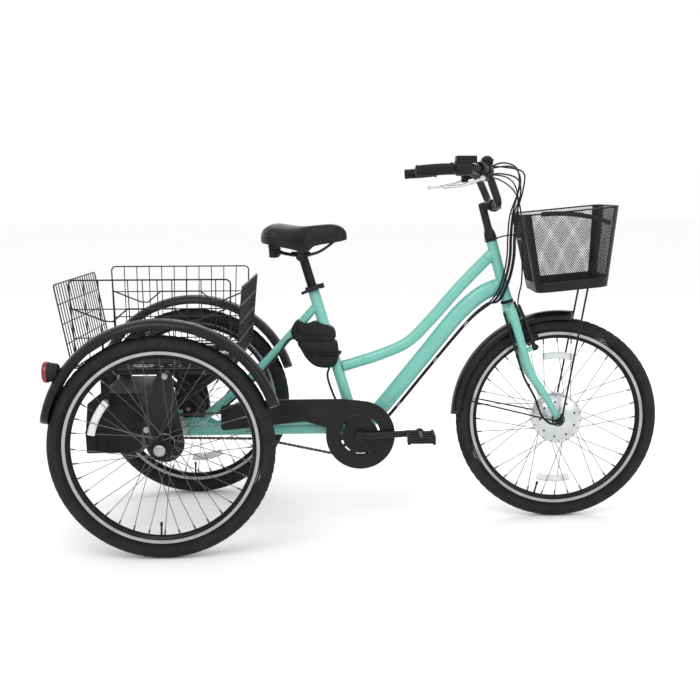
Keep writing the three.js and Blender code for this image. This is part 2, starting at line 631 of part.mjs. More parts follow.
// The room that the bar needs inside anything clamped or slid onto it.
const barBore = (side, gap) =>
  sweep(BAR_HALF.map((p) => vec(p.x, side * p.y, p.z)), BAR_R + gap, BAR_R + gap, 22, 8);

const gripSleeve = (side) => cut(rod(onGrip(side, -0.05), onGrip(side, 0.86), 16, 14),
  rod(onGrip(side, -0.006), onGrip(side, 1), BAR_R + 1, 12));
add('grip_left', gripSleeve(1), RUBBER);
add('twist_grip', gripSleeve(-1), RUBBER);

function throttleHousing() {
  const collar = rod(onGrip(-1, 0.9), onGrip(-1, 1.28), 21, 16);
  const display = box(56, 46, 20, 808, -274, 1052);
  return cut(join(collar, display), barBore(-1, 1.2));
}
add('throttle_housing', throttleHousing(), BLACK_PLASTIC);

// Lever brackets clamp round the bar where it starts to turn in.
const LEVER_PIVOT = vec(856, 240, 1003);
function leverBracket(side) {
  const bracket = join(rod(vec(846, side * 244, 1031), vec(862, side * 216, 1028), 17, 14),
    box(22, 14, 34, LEVER_PIVOT.x + 2, side * (LEVER_PIVOT.y - 9), LEVER_PIVOT.z + 9));
  return cut(bracket,
    barBore(side, 1),
    box(40, 8, 22, LEVER_PIVOT.x - 4, side * (LEVER_PIVOT.y + 0.5), LEVER_PIVOT.z - 3));
}
add('brake_clamp_left', leverBracket(1), BLACK_PAINT);

function brakeLever(side) {
  const at = (x, y, z) => vec(x, side * y, z);
  const root = at(LEVER_PIVOT.x, LEVER_PIVOT.y + 1, LEVER_PIVOT.z);
  return join(crossRod(LEVER_PIVOT.x, LEVER_PIVOT.z, side * (LEVER_PIVOT.y - 1.5), side * (LEVER_PIVOT.y + 5), 8, 12),
    sweep([root, at(826, 258, 992), at(790, 276, 984), at(752, 290, 980)], 4.5, 4.5, 6, 8),
    ball(at(752, 290, 980), 6, 8));
}
add('brake_lever_left', brakeLever(1), ALLOY);
add('brake_lever_right', brakeLever(-1), ALLOY);
add('brake_clamp_right', leverBracket(-1), BLACK_PAINT);

function shifterPod() {
  const dome = crossRod(874, 1048, -206, -170, 17, 16, 14);
  const band = rod(vec(868, -204, 1026), vec(880, -176, 1020), 17, 14);
  return cut(join(dome, band), barBore(-1, 1));
}
add('shifter_pod', shifterPod(), BLACK_PLASTIC);

const CONTROL_CABLE = [[886, -150, 1034], [925, -110, 1038], [960, -60, 1000], [968, -32, 930], [966, -28, 860],
  [972, -28, 790], [984, -30, 738]];
add('control_cables', sweep(CONTROL_CABLE.map((p) => vec(...p)), 4.5, 4.5, 16, 6), RUBBER);

const MOTOR_CABLE = [[1098, -82, 297], [1080, -80, 298], [1058, -66, 316], [1036, -56, 372], [1004, -55, 432],
  [980, -55, 506], [958, -55, 574], [943, -54, 622]];
add('motor_cable', sweep(MOTOR_CABLE.map((p) => vec(...p)), 3.5, 3.5, 18, 6), RUBBER);

// ---- front basket ----
const BASKET = { x: 1030, z: 681, tilt: THREE.MathUtils.degToRad(5.5), height: 225 };
const BASKET_BOTTOM = { from: 0, to: 208, half: 118 };
const BASKET_TOP = { from: -24, to: 252, half: 152 };

// One tapered tub with rounded corners, from height w0 to w1, inset by a wall thickness.
function basketTub(w0, w1, inset, corner = 34) {
  const shape = new THREE.Shape();
  const r = corner / 100;
  shape.moveTo(-1 + r, -1);
  shape.lineTo(1 - r, -1);
  shape.absarc(1 - r, -1 + r, r, -Math.PI / 2, 0, false);
  shape.absarc(1 - r, 1 - r, r, 0, Math.PI / 2, false);
  shape.absarc(-1 + r, 1 - r, r, Math.PI / 2, Math.PI, false);
  shape.absarc(-1 + r, -1 + r, r, Math.PI, 1.5 * Math.PI, false);
  const tub = new THREE.ExtrudeGeometry(shape, { depth: 1, bevelEnabled: false, curveSegments: 5 });
  const position = tub.attributes.position;
  for (let i = 0; i < position.count; i++) {
    const w = w0 + (w1 - w0) * position.getZ(i);
    const t = w / BASKET.height;
    const from = THREE.MathUtils.lerp(BASKET_BOTTOM.from, BASKET_TOP.from, t) + inset;
    const to = THREE.MathUtils.lerp(BASKET_BOTTOM.to, BASKET_TOP.to, t) - inset;
    const half = THREE.MathUtils.lerp(BASKET_BOTTOM.half, BASKET_TOP.half, t) - inset;
    const u = (from + to) / 2 + (position.getX(i) * (to - from)) / 2;
    position.setXYZ(i, u, position.getY(i) * half, w);
  }
  return tub;
}

function frontBasket() {
  const WALL = 4;
  const shell = cut(basketTub(0, BASKET.height, 0), basketTub(WALL, BASKET.height + 20, WALL));
  shell.rotateY(-BASKET.tilt);
  return shell;
}
add('front_basket', frontBasket(), BLACK_PLASTIC, BASKET.x, 0, BASKET.z);

function basketBracket() {
  const ringAt = (z0, z1, r) => rod(steerPoint(z0), steerPoint(z1), r, 16);
  const arm = sweep([vec(923, 0, 831.6), vec(936, 0, 836.4), vec(980, 0, 842), vec(994.6, 0, 832)], 2, 2, 6, 6);
  const hanger = crossRod(994.6, 832, -50, 50, 4, 8);
  return cut(join(ringAt(826, 830.6, 20), arm, hanger), ringAt(815, 850, STEERER_R + 0.6));
}
add('front_basket_bracket', basketBracket(), BLACK_PAINT);

function basketStays() {
  const tab = [[1107, 306], [1119, 306], [1124, 324], [1114, 324]];
  const pieces = [crossRod(1186, 692.6, -60, 60, 3, 8)];
  for (const side of [1, -1]) {
    pieces.push(axleEye(side, 61.6, 63.6, tab));
    pieces.push(rod(vec(1118, side * 62.6, 317), vec(1186, side * 60, 692.6), 3, 8));
  }
  return join(pieces);
}
add('front_basket_stays', basketStays(), BLACK_PAINT);

// ---- saddle ----
add('seat_post', rod(seatPoint(520), seatPoint(781), POST_R, 24), BLACK_PAINT);

function saddleUnderside() {
  const clamp = seatPoint(790);
  const pieces = [box(58, 24, 15, clamp.x - 4, 0, 790), crossRod(clamp.x - 4, 792, -34, 34, 6, 8),
    box(16, 26, 8, 470, 0, 838), box(22, 90, 8, 284, 0, 815)];
  for (const side of [1, -1]) {
    pieces.push(sweep([vec(284, side * 30, 806), vec(312, side * 22, 792), vec(400, side * 22, 792),
      vec(470, side * 8, 836)], 3.5, 3.5, 7, 6));
    pieces.push(rod(vec(284, side * 30, 784), vec(284, side * 34, 818), 15, 10, 17));
  }
  return cut(join(pieces), rod(seatPoint(760), seatPoint(781.5), POST_R + 6, 20));
}
add('saddle_frame', saddleUnderside(), BLACK_PAINT);

// Half the saddle's width at a distance along it: a rounded tail that narrows to a straight nose.
function saddleHalfWidth(x) {
  const t = THREE.MathUtils.clamp((x - SADDLE_REAR) / SADDLE_LENGTH, 0, 1);
  const tail = Math.sqrt(Math.max(0.35, 1 - Math.max(0, (0.2 - t) / 0.2) ** 2.6));
  const narrowing = THREE.MathUtils.smoothstep(t, 0.2, 0.62);
  const front = 1 - 0.3 * THREE.MathUtils.smoothstep(t, 0.86, 1);
  return (SADDLE_HALF_WIDTH * tail * (1 - narrowing) + NOSE_HALF_WIDTH * narrowing) * front;
}

// An outline in the x-z plane spread sideways to the saddle's plan, less a wall, its crown dropping to the edges.
function spreadAcross(outline, wall, crownDrop) {
  const CROWN_Z = 850;
  const spread = new THREE.ExtrudeGeometry(outline, { depth: 2, steps: 6, bevelEnabled: false, curveSegments: 6 });
  spread.rotateX(Math.PI / 2);
  spread.translate(0, 1, 0);
  const position = spread.attributes.position;
  for (let i = 0; i < position.count; i++) {
    const [x, t, z] = [position.getX(i), position.getY(i), position.getZ(i)];
    const drop = z > CROWN_Z ? crownDrop * t * t : 0;
    position.setXYZ(i, x, t * (saddleHalfWidth(x) - wall), z - drop);
  }
  return spread;
}

function saddlePad() {
  const outline = new THREE.Shape();
  outline.moveTo(256, 823);
  outline.quadraticCurveTo(244, 862, 262, 876);
  outline.quadraticCurveTo(300, 884, 358, 871);
  outline.quadraticCurveTo(420, 874, 452, 876);
  outline.quadraticCurveTo(488, 872, 492, 846);
  for (const [x, z] of [[491, 830], [470, 826], [444, 822], [420, 818], [398, 814], [384, 804], [372, 800],
    [352, 803], [334, 809], [316, 813], [286, 819]]) outline.lineTo(x, z);
  const hollow = shapeOf([[266, 790], [266, 834], [300, 834], [330, 834], [352, 834], [372, 834], [384, 834],
    [398, 834], [440, 844], [482, 844], [482, 790], [440, 790], [398, 790], [384, 790], [372, 790], [352, 790],
    [330, 790], [300, 790]]);
  const WALL = 4.4;
  return cut(spreadAcross(outline, 0, 16), spreadAcross(hollow, WALL, 0));
}
add('saddle', saddlePad(), RUBBER);

function clampLever() {
  const cam = rod(vec(28, -18, 1), vec(28, -18, 15), 7, 10);
  const lever = sweep([vec(28, -20, 8), vec(12, -29, 8), vec(-14, -29, 6), vec(-34, -23, 3)], 3, 5, 6, 6);
  return onSeatAxis(join(cam, lever), SEAT_TOP.z);
}
add('seat_clamp_lever', clampLever(), BLACK_PAINT);

// ---- rear basket ----
// A flat grid of square wire: windows are cut from a four-sided sheet that is width0 wide at v = 0 and width1 at the top.
function wireGrid(width0, width1, height, columns, rows, wire) {
  const half = (v) => (width0 + ((width1 - width0) * v) / height) / 2;
  const slab = (corners, depth) =>
    new THREE.ExtrudeGeometry(shapeOf(corners), { depth, bevelEnabled: false }).translate(0, 0, -depth / 2);
  const windows = [];
  for (let i = 0; i < columns; i++) {
    for (let j = 0; j < rows; j++) {
      const [v0, v1] = [(height - wire) * (j / rows) + wire, (height - wire) * ((j + 1) / rows)];
      const edge = (column, v, inset) => ((2 * column) / columns - 1) * (half(v) - wire / 2) + inset;
      windows.push(slab([[edge(i, v0, wire / 2), v0], [edge(i + 1, v0, -wire / 2), v0],
        [edge(i + 1, v1, -wire / 2), v1], [edge(i, v1, wire / 2), v1]], 3 * wire));
    }
  }
  return cut(slab([[-half(0), 0], [half(0), 0], [half(height), height], [-half(height), height]], wire), windows);
}

const PANEL_WIRE = 3.6;
const SIDE_LEAN = THREE.MathUtils.degToRad(5.3);
const SIDE_HEIGHT = 236;
const SIDE_MIDDLE_X = (BASKET_REAR_X + BASKET_FRONT_X) / 2;
for (const [name, side] of [['left', 1], ['right', -1]]) {
  const panel = wireGrid(412, 426, SIDE_HEIGHT, 6, 2, PANEL_WIRE);
  panel.rotateX(Math.PI / 2 - side * SIDE_LEAN);
  add(`basket_panel_${name}`, panel.translate(SIDE_MIDDLE_X, side * SIDE_HINGE.y, SIDE_HINGE.z), BLACK_PAINT);
}

const FRONT_LEAN = THREE.MathUtils.degToRad(5.5);
const REAR_LEAN = THREE.MathUtils.degToRad(-10.3);
for (const [name, x, lean, height] of [['front', BASKET_FRONT_X, FRONT_LEAN, 208], ['rear', BASKET_REAR_X, REAR_LEAN, 218]]) {
  const panel = wireGrid(470, 476, height, 7, 2, PANEL_WIRE);
  panel.rotateX(Math.PI / 2);
  panel.rotateZ(Math.PI / 2);
  panel.rotateY(lean);
  add(`basket_panel_${name}`, panel.translate(x, 0, END_HINGE_Z), BLACK_PAINT);
}

const floorGrid = wireGrid(472, 472, BASKET_FRONT_X - BASKET_REAR_X - 8, 5, 4, 4);
floorGrid.rotateZ(-Math.PI / 2);
add('basket_floor', floorGrid.translate(BASKET_REAR_X + 4, 0, FLOOR_Z), BLACK_PAINT);

export default group;
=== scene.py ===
"""An adult electric tricycle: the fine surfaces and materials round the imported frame.

Places are written in millimetres from the point on the ground under the rear axle (x forward, y to the
rider's left, z up) and turned into the frame's metres when a piece is made.
"""
import json
import math

import bmesh
import bpy
from mathutils import Matrix, Vector


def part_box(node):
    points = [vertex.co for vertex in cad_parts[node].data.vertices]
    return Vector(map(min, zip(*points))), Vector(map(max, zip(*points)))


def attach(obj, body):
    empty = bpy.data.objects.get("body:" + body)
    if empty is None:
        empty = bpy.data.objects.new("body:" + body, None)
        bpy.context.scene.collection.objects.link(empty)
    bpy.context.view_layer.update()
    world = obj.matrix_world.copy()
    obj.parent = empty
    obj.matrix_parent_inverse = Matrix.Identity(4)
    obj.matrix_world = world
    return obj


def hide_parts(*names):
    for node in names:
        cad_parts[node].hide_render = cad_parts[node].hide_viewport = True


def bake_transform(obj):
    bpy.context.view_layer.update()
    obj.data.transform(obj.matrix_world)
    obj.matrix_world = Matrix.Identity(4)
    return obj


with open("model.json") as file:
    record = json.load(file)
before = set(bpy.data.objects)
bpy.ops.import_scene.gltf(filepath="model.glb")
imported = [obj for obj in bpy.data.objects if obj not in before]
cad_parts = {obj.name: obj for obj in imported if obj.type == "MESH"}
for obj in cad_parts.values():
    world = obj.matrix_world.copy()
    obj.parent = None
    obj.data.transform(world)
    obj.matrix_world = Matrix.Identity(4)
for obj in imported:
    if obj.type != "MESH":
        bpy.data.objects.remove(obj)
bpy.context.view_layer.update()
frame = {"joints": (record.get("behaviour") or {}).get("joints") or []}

MM = 0.001
FORWARD = Vector((1, 0, 0))
LEFT = Vector((0, 1, 0))
UP = Vector((0, 0, 1))


# ---- places read from the frame ----
def middle(node):
    """The centre of a CAD node's box, in millimetres of the row frame."""
    low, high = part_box(node)
    return (low + high) / 2 / MM


REAR_X = middle("rear_tyre_left").x


def local(point):
    """A row-frame point in metres as design millimetres from the rear axle."""
    return Vector(point) / MM - Vector((REAR_X, 0, 0))


def in_frame(point):
    """A design point in millimetres as row-frame metres."""
    return (Vector(point) + Vector((REAR_X, 0, 0))) * MM


JOINTS = {joint["name"]: joint for joint in frame["joints"]}
AXLE_Z = middle("rear_tyre_left").z
HALF_TRACK = middle("rear_tyre_left").y
WHEELBASE = middle("front_tyre").x - REAR_X
FRONT_AXLE = Vector((WHEELBASE, 0, AXLE_Z))
STEER_FOOT = local(JOINTS["steering_turn"]["pos_m"])
STEER_UP = Vector(JOINTS["steering_turn"]["axis"]).normalized()
SEAT_UP = Vector(JOINTS["seat_height"]["axis"]).normalized()
BB = local(JOINTS["crank_spin"]["pos_m"])
SEAT_FOOT = Vector((517, 0, 268))


def steer_point(z):
    """The point of the steering axis at a height."""
    return STEER_FOOT + STEER_UP * ((z - STEER_FOOT.z) / STEER_UP.z)


def seat_point(z):
    """The point of the seat tube's axis at a height."""
    return SEAT_FOOT + SEAT_UP * ((z - SEAT_FOOT.z) / SEAT_UP.z)


def out_at(angle):
    """The direction at an angle in the wheels' plane, from forward towards up."""
    return Vector((math.cos(angle), 0, math.sin(angle)))


def directions(count, first=0.0):
    """Evenly spaced directions in the wheels' plane; first is the first one's place in steps."""
    return [out_at(2 * math.pi * (i + first) / count) for i in range(count)]


def side_name(side):
    return "left" if side > 0 else "right"


# ---- mesh building ----
def spline(points, steps=8, closed=False):
    """Points along a centripetal Catmull-Rom curve, with this many steps between neighbours."""
    knots = [Vector(p) for p in points]
    if closed:
        knots = [knots[-1], *knots, knots[0], knots[1]]
    else:
        knots = [2 * knots[0] - knots[1], *knots, 2 * knots[-1] - knots[-2]]
    result = []
    for a, b, c, d in zip(knots, knots[1:], knots[2:], knots[3:]):
        ab, bc, cd = ((q - p).length ** 0.5 for p, q in ((a, b), (b, c), (c, d)))
        leave = ((b - a) / ab - (c - a) / (ab + bc) + (c - b) / bc) * bc
        arrive = ((c - b) / bc - (d - b) / (bc + cd) + (d - c) / cd) * bc
        for i in range(steps):
            t = i / steps
            cubic = 2 * b - 2 * c + leave + arrive
            square = -3 * b + 3 * c - 2 * leave - arrive
            result.append(cubic * t**3 + square * t * t + leave * t + b)
    if not closed:
        result.append(knots[-2])
    return result


class Piece:
    """Gathers vertices in design millimetres, then becomes one object."""

    def __init__(self):
        self.mesh = bmesh.new()

    def add(self, points, faces, kinds=()):
        """Adds faces over points; kinds gives each face's place in the piece's list of materials."""
        corners = [self.mesh.verts.new(p) for p in points]
        for k, face in enumerate(faces):
            made = self.mesh.faces.new([corners[i] for i in face])
            made.material_index = kinds[k] if kinds else 0

    def loft(self, rings, closed=False, open_rings=False, kinds=()):
        """Joins rings that have the same number of points. closed joins the last ring to the first, and
        open_rings leaves each ring's last point apart from its first. kinds is for one ring's spans."""
        count, width = len(rings), len(rings[0])
        faces = []
        for i in range(count if closed else count - 1):
            low, high = i * width, (i + 1) % count * width
            for j in range(width - 1 if open_rings else width):
                after = (j + 1) % width
                faces.append((low + j, low + after, high + after, high + j))
        if not closed and not open_rings:
            faces.append(tuple(range(width))[::-1])
            faces.append(tuple((count - 1) * width + j for j in range(width)))
        self.add([point for ring in rings for point in ring], faces, list(kinds) * count)

    def sweep(self, points, radius, sides=14, depth=None, across=None, closed=False):
        """A bar along points. radius is its half width along across, and depth its other half width;
        each may be a function of the fraction of the way along."""
        points = [Vector(p) for p in points]
        count = len(points)
        size = radius if callable(radius) else lambda t: radius
        other = size if depth is None else depth if callable(depth) else lambda t: depth
        if across is None:
            lead = (points[1] - points[0]).normalized()
            across = LEFT if abs(lead.y) < 0.9 else UP
        side = Vector(across)
        turns = [2 * math.pi * j / sides for j in range(sides)]
        rings = []
        for i, point in enumerate(points):
            if closed:
                tangent = points[(i + 1) % count] - points[i - 1]
            else:
                tangent = points[min(i + 1, count - 1)] - points[max(i - 1, 0)]
            tangent.normalize()
            side = (side - tangent * side.dot(tangent)).normalized()
            up = tangent.cross(side)
            t = i / (count - 1)
            rings.append([point + side * size(t) * math.cos(a) + up * other(t) * math.sin(a) for a in turns])
        self.loft(rings, closed)

    def bar(self, a, b, radius, sides=14, end=None):
        """A straight round bar, tapering to end if that is given."""
        taper = radius if end is None else lambda t: radius + (end - radius) * t
        self.sweep([a, b], taper, sides)

    def turn(self, profile, centre, axis=LEFT, segments=48, closed=False, kinds=(), arc=None):
        """A lathed form: profile points are (radius, place along axis). arc limits it to (from, to) degrees,
        measured about +Y from forward to up."""
        axis = Vector(axis).normalized()
        zero = FORWARD if abs(axis.x) < 0.9 else LEFT
        zero = (zero - axis * zero.dot(axis)).normalized()
        quarter = zero.cross(axis) if axis.dot(LEFT) > 0.9 else axis.cross(zero)
        start, stop = arc or (0, 360)
        rings = []
        for i in range(segments + 1 if arc else segments):
            angle = math.radians(start + (stop - start) * i / segments)
            out = zero * math.cos(angle) + quarter * math.sin(angle)
            rings.append([Vector(centre) + out * r + axis * along for r, along in profile])
        self.loft(rings, closed=not arc, open_rings=not closed, kinds=kinds)

    def add_rounded(self, shape, offset, segments, matrix):
        """Rounds a small solid's edges and adds it."""
        bmesh.ops.bevel(shape, geom=shape.edges[:], offset=offset, segments=segments, profile=0.6,
                        affect="EDGES", clamp_overlap=True)
        shape.verts.index_update()
        points = [matrix @ v.co for v in shape.verts]
        self.add(points, [[v.index for v in f.verts] for f in shape.faces])
        shape.free()

    def block(self, size, centre, edge=2, turn=(0, "Y")):
        """A box with rounded edges; turn is (angle in degrees, axis letter)."""
        shape = bmesh.new()
        bmesh.ops.create_cube(shape, size=1)
        bmesh.ops.scale(shape, vec=Vector(size), verts=shape.verts)
        angle, axis = turn
        matrix = Matrix.Translation(Vector(centre)) @ Matrix.Rotation(math.radians(angle), 4, axis)
        self.add_rounded(shape, edge, 3, matrix)

    def plate(self, outline, thickness, y, edge=0.8):
        """A flat outline in the x-z plane, thick along y, with rounded edges."""
        shape = bmesh.new()
        half = thickness / 2
        near, far = ([shape.verts.new((x, level, z)) for x, z in outline] for level in (y - half, y + half))
        shape.faces.new(near)
        shape.faces.new(far[::-1])
        for i in range(len(outline)):
            shape.faces.new((near[i], near[i - 1], far[i - 1], far[i]))
        self.add_rounded(shape, edge, 2, Matrix.Identity(4))

    def bolt(self, centre, axis, radius=5, height=4):
        """A domed hexagon head with a washer."""
        self.turn([(0, 0), (radius * 1.5, 0), (radius * 1.5, 1), (0, 1)], centre, axis, 20)
        head = [(radius, 1), (radius, height - 0.8), (radius - 0.8, height), (0, height + 0.4)]
        self.turn(head, centre, axis, 6)

    def make(self, name, body, materials, stands_for=(), crease=35):
        """Ends the piece as an object that rides on a body."""
        bmesh.ops.remove_doubles(self.mesh, verts=self.mesh.verts, dist=1e-3)
        bmesh.ops.recalc_face_normals(self.mesh, faces=self.mesh.faces)
        for vert in self.mesh.verts:
            vert.co = in_frame(vert.co)
        data = bpy.data.meshes.new(name)
        self.mesh.to_mesh(data)
        self.mesh.free()
        data.polygons.foreach_set("use_smooth", [True] * len(data.polygons))
        data.set_sharp_from_angle(angle=math.radians(crease))
        made = bpy.data.objects.new(name, data)
        bpy.context.scene.collection.objects.link(made)
        for material in materials if isinstance(materials, (list, tuple)) else [materials]:
            data.materials.append(material)
        if body:
            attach(made, body)
        if stands_for:
            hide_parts(*stands_for)
        return made


# ---- materials ----
class Finish:
    """A principled material and the node helpers that give its surface detail."""

    def __init__(self, name, color, roughness, metallic=0.0, **sockets):
        self.material = bpy.data.materials.new(name)
        self.material.use_nodes = True
        self.tree = self.material.node_tree
        self.shader = self.tree.nodes["Principled BSDF"]
        self.color = color
        self.set("Base Color", (*color, 1))
        self.set("Roughness", roughness)
        self.set("Metallic", metallic)
        for key, value in sockets.items():
            self.set(key.replace("_", " "), value)
        self.place = self.node("ShaderNodeTexCoord").outputs["Object"]
        self.height = None

    def set(self, socket, value):
        self.shader.inputs[socket].default_value = value

    def node(self, kind, **values):
        made = self.tree.nodes.new(kind)
        for key, value in values.items():
            if hasattr(made, key):
                setattr(made, key, value)
            else:
                made.inputs[key.replace("_", " ")].default_value = value
        return made

    def link(self, output, socket):
        self.tree.links.new(output, socket)

    def noise(self, scale, detail=3.0):
        made = self.node("ShaderNodeTexNoise", Scale=scale, Detail=detail)
        self.link(self.place, made.inputs["Vector"])
        return made.outputs["Fac"]

    def cells(self, scale):
        made = self.node("ShaderNodeTexVoronoi", Scale=scale)
        self.link(self.place, made.inputs["Vector"])
        return made.outputs["Distance"]

    def between(self, value, low, high, start=0.3, stop=0.7):
        made = self.node("ShaderNodeMapRange")
        for key, number in (("From Min", start), ("From Max", stop), ("To Min", low), ("To Max", high)):
            made.inputs[key].default_value = number
        self.link(value, made.inputs["Value"])
        return made.outputs["Result"]

    def vary_color(self, value, other, start=0.35, stop=0.7):
        mix = self.node("ShaderNodeMix", data_type="RGBA")
        self.link(self.between(value, 0, 1, start, stop), mix.inputs["Factor"])
        mix.inputs["A"].default_value = (*self.color, 1)
        mix.inputs["B"].default_value = (*other, 1)
        self.link(mix.outputs["Result"], self.shader.inputs["Base Color"])

    def vary_roughness(self, value, low, high):
        self.link(self.between(value, low, high), self.shader.inputs["Roughness"])

    def bump(self, value, distance, strength=0.5):
        made = self.node("ShaderNodeBump", Strength=strength, Distance=distance)
        self.link(value, made.inputs["Height"])
        if self.height:
            self.link(self.height, made.inputs["Normal"])
        self.height = made.outputs["Normal"]
        self.link(self.height, self.shader.inputs["Normal"])


BLACK_GLOSS = 0.22


def black(name, shade, roughness, **sockets):
    """A near-black finish that mirrors little of the bright studio."""
    return Finish(name, (shade, shade, shade * 1.06), roughness, Specular_IOR_Level=BLACK_GLOSS, **sockets)


def mint_lacquer():
    finish = Finish("mint_lacquer", (0.135, 0.43, 0.355), 0.3, Coat_Weight=0.4, Coat_Roughness=0.08)
    finish.vary_color(finish.noise(9, 4), (0.155, 0.465, 0.385))
    finish.vary_roughness(finish.noise(30), 0.26, 0.36)
    finish.bump(finish.noise(420, 2), 0.0002, 0.12)
    return finish.material


def powder_coat():
    finish = black("black_powder_coat", 0.007, 0.38, Coat_Weight=0.06, Coat_Roughness=0.2)
    finish.vary_color(finish.noise(14, 5), (0.012, 0.012, 0.013))
    finish.vary_roughness(finish.noise(40), 0.3, 0.46)
    finish.bump(finish.noise(900, 2), 0.0003, 0.25)
    return finish.material


def moulded_plastic():
    finish = black("moulded_black_plastic", 0.006, 0.45)
    finish.vary_color(finish.noise(11, 5), (0.011, 0.011, 0.012))
    finish.vary_roughness(finish.noise(55), 0.38, 0.52)
    finish.bump(finish.cells(1400), 0.0002, 0.3)
    return finish.material


def fender_plastic():
    finish = black("fender_plastic", 0.005, 0.24)
    finish.vary_color(finish.noise(8, 6), (0.012, 0.012, 0.013))
    finish.vary_roughness(finish.noise(18, 6), 0.16, 0.3)
    finish.bump(finish.noise(60, 2), 0.0006, 0.08)
    return finish.material


def tyre_rubber():
    finish = black("tyre_rubber", 0.008, 0.75)
    finish.vary_color(finish.noise(26, 6), (0.016, 0.0155, 0.015))
    finish.vary_roughness(finish.noise(70), 0.6, 0.82)
    finish.bump(finish.noise(700, 3), 0.0004, 0.35)
    return finish.material


def soft_rubber():
    finish = black("grip_rubber", 0.007, 0.62)
    finish.vary_color(finish.noise(60, 4), (0.013, 0.013, 0.0135))
    finish.bump(finish.cells(1600), 0.0003, 0.4)
    return finish.material


def cable_jacket():
    finish = black("cable_jacket", 0.006, 0.34)
    finish.vary_roughness(finish.noise(90), 0.28, 0.44)
    finish.vary_color(finish.noise(50), (0.011, 0.011, 0.0115))
    return finish.material


def saddle_vinyl():
    finish = black("saddle_vinyl", 0.007, 0.4)
    finish.vary_color(finish.noise(16, 5), (0.012, 0.012, 0.013))
    finish.vary_roughness(finish.noise(35), 0.34, 0.5)
    finish.bump(finish.cells(620), 0.0005, 0.35)
    finish.bump(finish.noise(180, 3), 0.0006, 0.15)
    return finish.material


def satin_alloy():
    finish = Finish("satin_alloy", (0.62, 0.63, 0.64), 0.3, 1.0)
    finish.vary_color(finish.noise(22, 5), (0.52, 0.53, 0.54))
    finish.vary_roughness(finish.noise(120, 4), 0.22, 0.4)
    finish.bump(finish.noise(500, 2), 0.0001, 0.15)
    return finish.material


def brake_track():
    finish = Finish("machined_brake_track", (0.4, 0.405, 0.41), 0.3, 1.0)
    finish.vary_color(finish.noise(30, 4), (0.32, 0.325, 0.33))
    finish.vary_roughness(finish.noise(200, 4), 0.2, 0.36)
    return finish.material


def black_anodised():
    finish = Finish("black_anodised", (0.009, 0.009, 0.0095), 0.34, 0.8)
    finish.vary_color(finish.noise(20, 4), (0.016, 0.016, 0.0165))
    finish.vary_roughness(finish.noise(80), 0.28, 0.42)
    return finish.material


def plated_steel():
    finish = Finish("plated_steel", (0.4, 0.4, 0.41), 0.3, 1.0)
    finish.vary_color(finish.noise(40, 5), (0.3, 0.3, 0.31))
    finish.vary_roughness(finish.noise(140), 0.24, 0.42)
    return finish.material


def spoke_steel():
    finish = Finish("darkened_spoke_steel", (0.11, 0.11, 0.115), 0.34, 1.0)
    finish.vary_color(finish.noise(60, 4), (0.07, 0.07, 0.072))
    finish.vary_roughness(finish.noise(200), 0.28, 0.42)
    return finish.material


def chain_steel():
    finish = Finish("oiled_chain_steel", (0.1, 0.092, 0.085), 0.36, 1.0)
    finish.vary_color(finish.noise(120, 4), (0.05, 0.042, 0.035))
    finish.vary_roughness(finish.noise(300), 0.28, 0.5)
    return finish.material


def red_lens():
    finish = Finish("red_lens", (0.24, 0.002, 0.018), 0.2, Coat_Weight=0.3, Coat_Roughness=0.08)
    finish.vary_color(finish.cells(220), (0.14, 0.001, 0.01), 0.2, 0.8)
    finish.bump(finish.cells(260), 0.0008, 0.5)
    return finish.material


def reflector_plastic(name, color, shade):
    finish = Finish(name, color, 0.16, Coat_Weight=0.6, Coat_Roughness=0.06)
    finish.vary_color(finish.cells(380), shade, 0.2, 0.8)
    finish.bump(finish.cells(380), 0.0006, 0.5)
    return finish.material


def display_glass():
    finish = Finish("display_glass", (0.01, 0.011, 0.012), 0.08, Coat_Weight=1.0, Coat_Roughness=0.03)
    finish.vary_color(finish.noise(30), (0.016, 0.018, 0.02))
    return finish.material


def case_fabric():
    finish = black("case_nylon", 0.007, 0.6)
    finish.vary_color(finish.noise(45, 5), (0.014, 0.014, 0.015))
    for direction in ("X", "Z"):
        wave = finish.node("ShaderNodeTexWave", bands_direction=direction, Scale=260, Distortion=0.6)
        finish.link(finish.place, wave.inputs["Vector"])
        finish.bump(wave.outputs["Fac"], 0.0003, 0.35)
    return finish.material


MINT = mint_lacquer()
COAT = powder_coat()
PLASTIC = moulded_plastic()
FENDER = fender_plastic()
TYRE = tyre_rubber()
GRIP = soft_rubber()
CABLE = cable_jacket()
VINYL = saddle_vinyl()
ALLOY = satin_alloy()
TRACK = brake_track()
ANODISED = black_anodised()
STEEL = plated_steel()
SPOKE = spoke_steel()
CHAIN = chain_steel()
LENS = red_lens()
WHITE_REFLECTOR = reflector_plastic("white_reflector", (0.75, 0.76, 0.76), (0.5, 0.52, 0.53))
AMBER_REFLECTOR = reflector_plastic("amber_reflector", (0.8, 0.22, 0.02), (0.55, 0.12, 0.01))
GLASS = display_glass()
NYLON = case_fabric()


# ---- wheels ----
TYRE_R = 300
CASING_R = 22.6
RIM_OUTER = 262.2
RIM_INNER = 238.4
REAR_FLANGE_R = 26.5
MOTOR_FLANGE_R = 69
FLANGE_Y = 22


